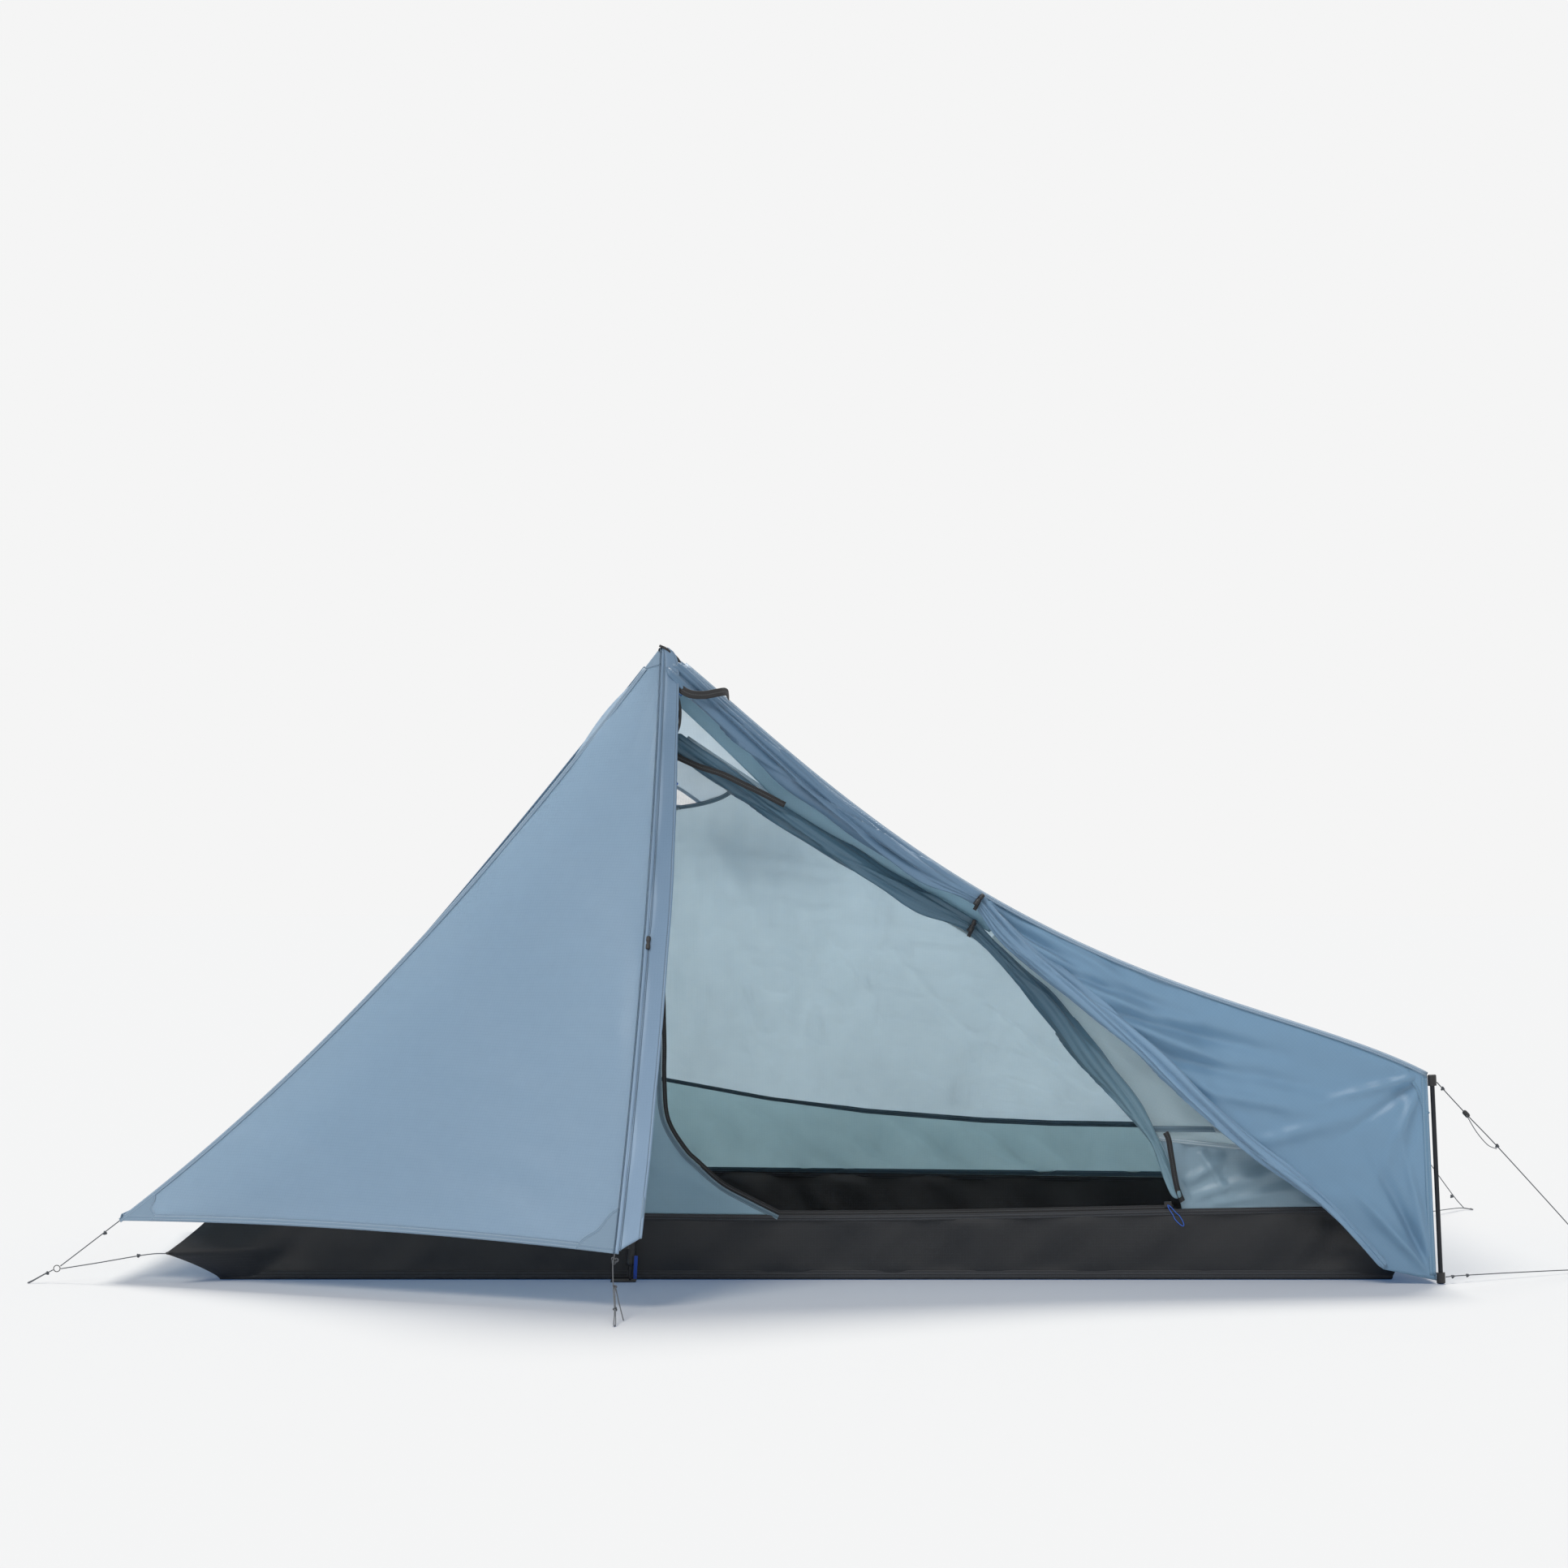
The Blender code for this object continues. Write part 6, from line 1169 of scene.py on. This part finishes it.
def roll_grid(path, front, up, distance, drape, twist, sides=72, lobes=1.0, seed=7):
    """A rolled cloth: the oval section times 1 + lobes + gathers near the tie, its edge's step and drape.

    The lobes are sharp folds of 2, 3, 5 and 8 turns and two grooves that advance along it, and drape adds
    below, where the cloth's free part hangs. Under the toggle the front is flat, so that the bar can turn.
    """
    step = 0.26
    turn = (np.arange(sides) / sides * math.tau)[None]
    d = distance[:, None]
    bulk = (1 + 0.05 * np.sin(27 * d + seed) + 0.04 * np.sin(44 * d)) * (1 + lobes * (
        0.13 * ridge(2 * turn + 9 * d + seed) - 0.12 * ridge(3 * turn + 12 * d + 1.0)
        + 0.10 * ridge(5 * turn + 17 * d + 1.3) - 0.06 * ridge(8 * turn + 24 * d + 2.1)
        - 0.20 * groove(turn - 0.15 - 3.1 * d) - 0.16 * groove(turn + 0.75 + 2.3 * d)))
    bulk = bulk + 0.16 * np.cos(7 * turn + 10 * d) * np.exp(-(d / 0.07) ** 2)
    bulk = bulk + 0.07 * np.cos(12 * turn - 9 * d) * np.exp(-(d / 0.18) ** 2)
    spiral = (turn / math.tau - twist * d - 0.30) % 1.0
    bulk = bulk + step * (spiral - 0.5)
    second = (turn / math.tau - twist * 1.4 * d + 0.23) % 1.0
    bulk = bulk + 0.5 * step * (second - 0.5)
    low = np.clip(-np.sin(turn), 0, 1) ** 1.5 * drape[:, None]
    end = np.minimum(along(path), along(path)[-1] - along(path))[:, None]
    close = np.sqrt(1 - (1 - np.clip(end / 0.018 + 0.12, 0, 1)) ** 2)
    shown = np.minimum(front[:, None] * np.cos(turn) * bulk * close, 0.0110 + np.maximum(np.abs(d) - 0.016, 0))
    return carried(path, np.stack([shown, (up[:, None] * np.sin(turn) * bulk - low) * close], axis=-1))


# Painted shade: the rolled door is darker along its tied upper part under the ridge and turns paler from 0.50 m to 1.0
# m along the loose part.
ROLLED = fabric("rolled_door_fabric", (86, 115, 141), rough=0.33, passes=0.08, crinkle=0.62, tone=0.06,
                later=((116, 148, 176), 0.50, 1.0))
edge = RIDGE(np.linspace(ROLL_START, TOGGLE_AT, TIE_ROW + 1)) + np.array([0, -0.010, 0])


def outer_lower(start):
    """The loose roll from its toggle down to the near strut's foot, through the places where it lies."""
    places = [(0.376, 0.631), (0.450, 0.568), (0.537, 0.497), (0.625, 0.422), (0.713, 0.340), (0.801, 0.264),
              (0.889, 0.198), (0.948, 0.147), (0.999, 0.084), (1.046, 0.031)]
    return route([start] + [(x - 0.0045, -0.512, z - 0.0055) for x, z in places[:-2]]
                 + [(x, -0.512, z) for x, z in places[-2:]], 230)[1:]


outer_path, outer_front, outer_up, outer_far = tied_roll(edge, outer_lower, 0.0027, 0.018, 0.0195, 0.07)
outer_up = outer_up * np.interp(outer_far, [0.0, 0.06, 0.16, 0.70, 0.90], [1.0, 0.86, 0.74, 0.74, 0.90])
drape = np.interp(outer_far, [0.0, 0.03, 0.10, 0.25, 0.45, 0.65, 0.80, 0.90],
                  [0, 0.002, 0.005, 0.005, 0.005, 0.004, 0.002, 0])
grid = roll_grid(outer_path, outer_front, outer_up, outer_far, drape, 0.9,
                 lobes=np.interp(outer_far, [-0.10, 0.0, 0.1], [1.7, 1.0, 1.2])[:, None])
girth = math.tau * 0.022
roll = mesh_over("fly_door_roll_cloth", grid, round_uv(outer_path, grid.shape[1], girth), ROLLED, closed=True)
dress(roll, "tent", "fly_cloth_rolled", "fly_door_roll")

# A facing of the fly's cloth hangs from the ridge behind the rolled door, down to the inner tent.
high = RIDGE(np.linspace(0.026, TOGGLE_AT + 0.03, 120)) + (0, 0.004, -0.003)
under = IN_RIDGE(np.linspace(0.020, IN_TIE_AT + 0.02, 120)) + (0, -0.0095, -0.0080)
rise = np.interp(under[:, 0], [-0.240, -0.170, -0.105, -0.045], [0.058, 0.040, 0.020, 0.0])
under = under + np.outer(rise, UP)
grid = high[None] + (under - high)[None] * np.linspace(0, 1, 26)[:, None, None]
s, t = shares(26, 120)
push = waves(grid[..., ::2], 74, 0.10, 0.0022, 0.9, 0.3) - 0.0030
push = held(s, 0.2) * held(1 - s, 0.2) * held(t, 0.05) * push
FACING = fabric("facing_fabric", (132, 166, 184), rough=0.44, passes=0.40, glow=(0.76, 0.92, 0.98), tone=0.05)
behind = MIDDLE + (0, 3, 0)
shape = grid + normals_of(grid, behind) * push[..., None]
facing = mesh_over("fly_ridge_facing", shape, flat_uv(grid), FACING, centre=behind)
dress(walled(facing, 0.0009), "tent", "fly_cloth")

# The part of the door that stays spread, between the ridge, the near strut and the roll. Folds fan out
# from the tie, and bright creases run into the lower corner.
sunk = np.interp(outer_far, [0.62, outer_far[-1]], [0.6, -0.9])
seat = (outer_path + up_from(outer_path) * (outer_up * sunk)[:, None])[TIE_ROW + 3:]
marks = along(seat) / along(seat)[-1]


def low_line(share):
    """The line on top of the roll where the spread door meets it."""
    return np.stack([np.interp(share, marks, seat[:, k]) for k in range(3)], axis=-1)


high_line = part_of(below_apex(RIDGE), 0.415, 1.0)
side_line = joined(span(low_line(1.0), FOOT_NEAR_LOW), span(FOOT_NEAR_LOW, FOOT_NEAR), 0.25)
s, t = shares(190, split(120, 0.25))
grid = coons(low_line, high_line, span(low_line(0.0), high_line(0.0)), side_line, s, t, hold=8)
loose = held_round(s, t, 0.02, 0.03, 0.06, 0.03)
tie = outer_path[TIE_ROW + 1]
folds = waves(grid[..., ::2], 71, 0.13, 0.0036, 1.2, 0.35)
folds = folds + waves(grid[..., ::2], 72, 0.045, 0.0008, 1.2, 0.5)
folds = folds + 1.85 * soft_folds(grid, [
    (tie, (0.52, -0.5, 0.575), 0.010, -0.012), (tie, (0.60, -0.5, 0.535), 0.009, 0.009),
    (tie, (0.56, -0.5, 0.52), 0.008, -0.009),
    ((0.37, -0.5, 0.625), (0.62, -0.5, 0.50), 0.010, 0.010), ((0.43, -0.5, 0.575), (0.72, -0.5, 0.475), 0.012, -0.012),
    ((0.46, -0.5, 0.56), (0.70, -0.5, 0.44), 0.010, 0.009), ((0.50, -0.5, 0.50), (0.90, -0.5, 0.405), 0.013, -0.012),
    ((0.53, -0.5, 0.495), (0.84, -0.5, 0.36), 0.013, 0.011), ((0.60, -0.5, 0.42), (1.00, -0.5, 0.335), 0.014, -0.010),
    ((0.66, -0.5, 0.36), (0.95, -0.5, 0.30), 0.012, 0.008), ((0.80, -0.5, 0.25), (1.02, -0.5, 0.31), 0.014, 0.008),
    (FOOT_NEAR_LOW, (1.00, -0.5, 0.27), 0.008, -0.007), (FOOT_NEAR_LOW, (1.065, -0.5, 0.30), 0.008, 0.008),
    (FOOT_NEAR, (0.90, -0.5, 0.32), 0.009, 0.006), (FOOT_NEAR, (0.93, -0.5, 0.24), 0.008, -0.005),
    (FOOT_NEAR, (1.01, -0.5, 0.14), 0.008, 0.005), (FOOT_NEAR, (1.07, -0.5, 0.16), 0.007, -0.005),
    (FOOT_NEAR_LOW, (0.96, -0.5, 0.20), 0.010, 0.009), (FOOT_NEAR_LOW, (1.03, -0.5, 0.24), 0.009, -0.008),
    (FOOT_NEAR_LOW, (1.09, -0.5, 0.22), 0.009, 0.008)])
DOOR = fabric("fly_door_fabric", (113, 147, 175), rough=0.34, passes=0.20, glow=(0.66, 0.86, 0.97), grid=0.0056,
              crinkle=0.40, tone=0.04)
DOOR_HEM = fabric("fly_door_hem_fabric", (104, 140, 168), rough=0.42, passes=0.20, rows=(-0.0030, 0.0030),
                  thread=(138, 166, 188), crinkle=0.5)
sheet("fly_door_cloth", grid, folds * loose, DOOR, "fly_cloth", ["fly_door_panel"], centre=np.array([0.5, 0.0, 0.3]),
      level=unit(FOOT_NEAR_LOW - tie))
door_side = side_line(np.linspace(0.27, 0.99, 60)) + (-0.006, -0.0006, 0)
band("fly_door_side_hem", door_side, FRONT, 0.0120, 0.0024, DOOR_HEM, "fly_cloth")


def door_at(s, t):
    """The spread door's face near the top of the strut: s runs down from there, t along the ridge."""
    down, back = FOOT_NEAR_LOW - FOOT_NEAR, high_line(0.57) - FOOT_NEAR
    return FOOT_NEAR + down * (1 - s)[..., None] + back * (1 - t)[..., None]


corner_layer("strut_corner_layer", door_at, 0.19, 0.105, DOOR, DOOR_HEM)

# The inner tent's door, rolled the same way along its ridge and tied, then loose down to its zip's end.
# Painted shade: the rolled inner door is dark along its tied upper part, where it is shaded and thickly rolled so that
# little light comes through. It turns paler from 0.85 m to 1.35 m along its thinner loose part.
IN_ROLLED = fabric("inner_rolled_fabric", (66, 98, 118), rough=0.36, passes=0.12, glow=(0.80, 0.93, 0.97), crinkle=0.6,
                   tone=0.08, later=((122, 154, 168), 0.85, 1.35))
edge = IN_RIDGE(np.linspace(0.020, IN_TIE_AT, TIE_ROW + 1)) + np.array([0, -0.0166, 0])


def inner_lower(start):
    """The rolled inner door's line from its toggle down to the zip's end at the rim."""
    places = [(0.372, 0.576), (0.438, 0.507), (0.512, 0.414), (0.586, 0.330), (0.634, 0.258), (0.662, 0.190),
              (0.680, 0.152)]
    return route([start] + [(x, start[1], z) for x, z in places], 170)[1:]


inner_path, inner_front, inner_up, inner_far = tied_roll(edge, inner_lower, 0.0027, 0.016, 0.0184, 0.07)
slim = np.interp(inner_far, [0.0, 0.05, 0.14, 0.24, 0.45, 0.66], [1.0, 0.64, 0.70, 1.15, 1.45, 1.35])
drape = np.interp(inner_far, [0.1, 0.3, 0.5], [0, 0.006, 0])
grid = roll_grid(inner_path, inner_front * slim, inner_up * slim, inner_far, drape, 1.3, sides=64, seed=3)
girth = math.tau * 0.017
roll = mesh_over("inner_door_roll_cloth", grid, round_uv(inner_path, 64, girth), IN_ROLLED, closed=True)
dress(roll, "tent", "inner_cloth_rolled", "inner_door_roll")

# The zips' other halves are rolled in with the doors and show at the rolls' upper ends. A blue cord with a
# knot hangs from the end of the inner one, and the outer one turns back into its roll.
line = route([(-0.2400, -0.4700, 0.9560), (-0.1961, -0.4760, 0.9364), (-0.1519, -0.4800, 0.9216),
              (-0.1151, -0.4820, 0.9040), (-0.0783, -0.4830, 0.8863), (-0.0385, -0.4800, 0.8657)], 60)
band("inner_roll_zip", line, FRONT, 0.0110, 0.0016, ZIP, "black_webbing")
line = route([(-0.2400, -0.4880, 0.9280), (-0.2370, -0.4930, 0.9040), (-0.2355, -0.4950, 0.8900)], 16)
dress(tube("door_end_cord", line, 0.0008, COBALT), "tent", "cobalt_cord")
knot("door_end_knot", (-0.2370, -0.4930, 0.9040), 0.0044, COBALT, 0.5)
line = route([(-0.2340, -0.5060, 1.0800), (-0.2110, -0.5170, 1.0660), (-0.1850, -0.5170, 1.0635),
              (-0.1600, -0.5120, 1.0680), (-0.1450, -0.4990, 1.0700), (-0.1400, -0.4850, 1.0600)], 60)
facing_way = np.array([0.12, -1.0, 0.1]) + np.linspace(0, 1, 60)[:, None] ** 6 * (1.2, 0.4, 0.4)
band("outer_roll_zip", line, facing_way, 0.0150, 0.0016, ZIP, "black_webbing")


# Ties: a loop of webbing round each rolled door, closed by a black toggle through a loop of cord.
def tie_piece(name, path, node):
    """A webbing hoop round a roll's tied place: centre + reach (front cos a + up sin a)."""
    centre, ahead = path[TIE_ROW], unit(path[TIE_ROW + 1] - path[TIE_ROW - 1])
    out = unit(FRONT + ahead * ahead[1])
    up = np.cross(out, ahead)
    a = np.linspace(0, math.tau, 44, endpoint=False)[:, None]
    radial = out * np.cos(a) + up * np.sin(a)
    reach = TOGGLE_PINCH + 0.0021
    band(name, centre + radial * reach, radial, 0.0080, 0.0017, WEBBING, "black_webbing", [node], hoop=True)
    tail = centre + out * (reach - 0.001) + ahead * 0.002
    tail = tail + np.linspace(0, 1, 12)[:, None] * (ahead * 0.004 - up * 0.020)
    band(name + "_tail", tail, out, 0.0070, 0.0014, WEBBING, "black_webbing")


tie_piece("outer_tie_webbing", outer_path, "outer_tie_strap")
tie_piece("inner_tie_webbing", inner_path, "inner_tie_strap")


# Moulded and metal parts keep their solids: black toggles, sliders, caps and levers, the pole's alloy
# shafts and foam grip, and the dark alloy struts. Their finishes follow each part's own place.
def moulded(name, shown):
    """Moulded plastic: a fine grain, and paler scuffs where a broad noise is high."""
    made, root = new_material(name)
    place = root.node("TexCoord", out="Object")
    fine = root.node("TexNoise", sockets={"Vector": place, "Scale": 1100.0, "Detail": 2.0})
    broad = root.node("TexNoise", sockets={"Vector": place, "Scale": 130.0, "Detail": 5.0, "Roughness": 0.7})
    worn = root.node("ValToRGB", {"stops": [(0.58, (0, 0, 0)), (0.74, (1, 1, 1))]}, {0: broad})
    colour = blend(worn * 0.5, linear(*shown), linear(*(part + 34 for part in shown)))
    bump = root.node("Bump", sockets={"Strength": 0.35, "Distance": 0.0002, "Height": fine + broad * 0.4})
    body = root.node("BsdfPrincipled", sockets={"Base Color": colour, "Roughness": worn * 0.18 + 0.42, "Normal": bump})
    root.node("OutputMaterial", sockets={"Surface": body})
    return made


def alloy(name, shown, rough):
    """Drawn alloy tube: fine lines along it, from noise that is stretched along the pole, and faint marks."""
    made, root = new_material(name)
    place = root.node("TexCoord", out="Object")
    drawn = root.node("Mapping", sockets={"Vector": place, "Scale": (1.0, 1.0, 0.03)})
    lines = root.node("TexNoise", sockets={"Vector": drawn, "Scale": 620.0, "Detail": 3.0})
    tarnish = root.node("TexNoise", sockets={"Vector": place, "Scale": 60.0, "Detail": 4.0})
    dark, bright = (tuple(part * much for part in linear(*shown)) for much in (0.82, 1.12))
    colour = blend(lines * 0.6 + tarnish * 0.4, dark, bright)
    bump = root.node("Bump", sockets={"Strength": 0.25, "Distance": 0.0001, "Height": lines})
    body = root.node("BsdfPrincipled", sockets={"Base Color": colour, "Metallic": 1.0, "Normal": bump,
                                                "Roughness": rough + (tarnish - 0.5) * 0.16})
    root.node("OutputMaterial", sockets={"Surface": body})
    return made


def foam(name, shown):
    """Foam grip: small open cells by a Voronoi bump, with slightly paler rims."""
    made, root = new_material(name)
    place = root.node("TexCoord", out="Object")
    pores = root.node("TexVoronoi", {"feature": "F1"}, {"Vector": place, "Scale": 620.0})
    broad = root.node("TexNoise", sockets={"Vector": place, "Scale": 40.0, "Detail": 4.0})
    # Painted shade: the cells are darker in their hollows and paler at their rims. The broad noise adds random tone.
    colour = blend(pores * 0.5 + broad * 0.4, linear(26, 26, 28), linear(*shown))
    bump = root.node("Bump", sockets={"Strength": 0.6, "Distance": 0.0004, "Height": pores})
    body = root.node("BsdfPrincipled", sockets={"Base Color": colour, "Roughness": 0.88, "Normal": bump})
    root.node("OutputMaterial", sockets={"Surface": body})
    return made


PLASTIC = moulded("black_moulding", (30, 30, 32))
SHAFT, STRUT = alloy("shaft_finish", (168, 170, 173), 0.30), alloy("strut_finish", (52, 54, 58), 0.36)
GRIP = foam("grip_foam_finish", (58, 58, 61))
for finish, nodes in (
        (PLASTIC, ("door_slider", "inner_slider", "outer_toggle", "inner_toggle", "flap_toggle", "upper_collar",
                   "lower_collar", "upper_lever", "lower_lever", "pole_tip", "near_strut_foot_cap",
                   "near_strut_top_cap", "far_strut_foot_cap", "far_strut_top_cap", "near_tensioner", "left_ring")),
        (SHAFT, ("upper_shaft", "middle_shaft", "lower_shaft")), (STRUT, ("near_strut", "far_strut")),
        (GRIP, ("pole_grip",)), (COBALT, ("door_pull", "inner_pull")), (WEBBING, ("wrist_strap", "foot_strap"))):
    for node in nodes:
        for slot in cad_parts[node].material_slots:
            slot.material = finish
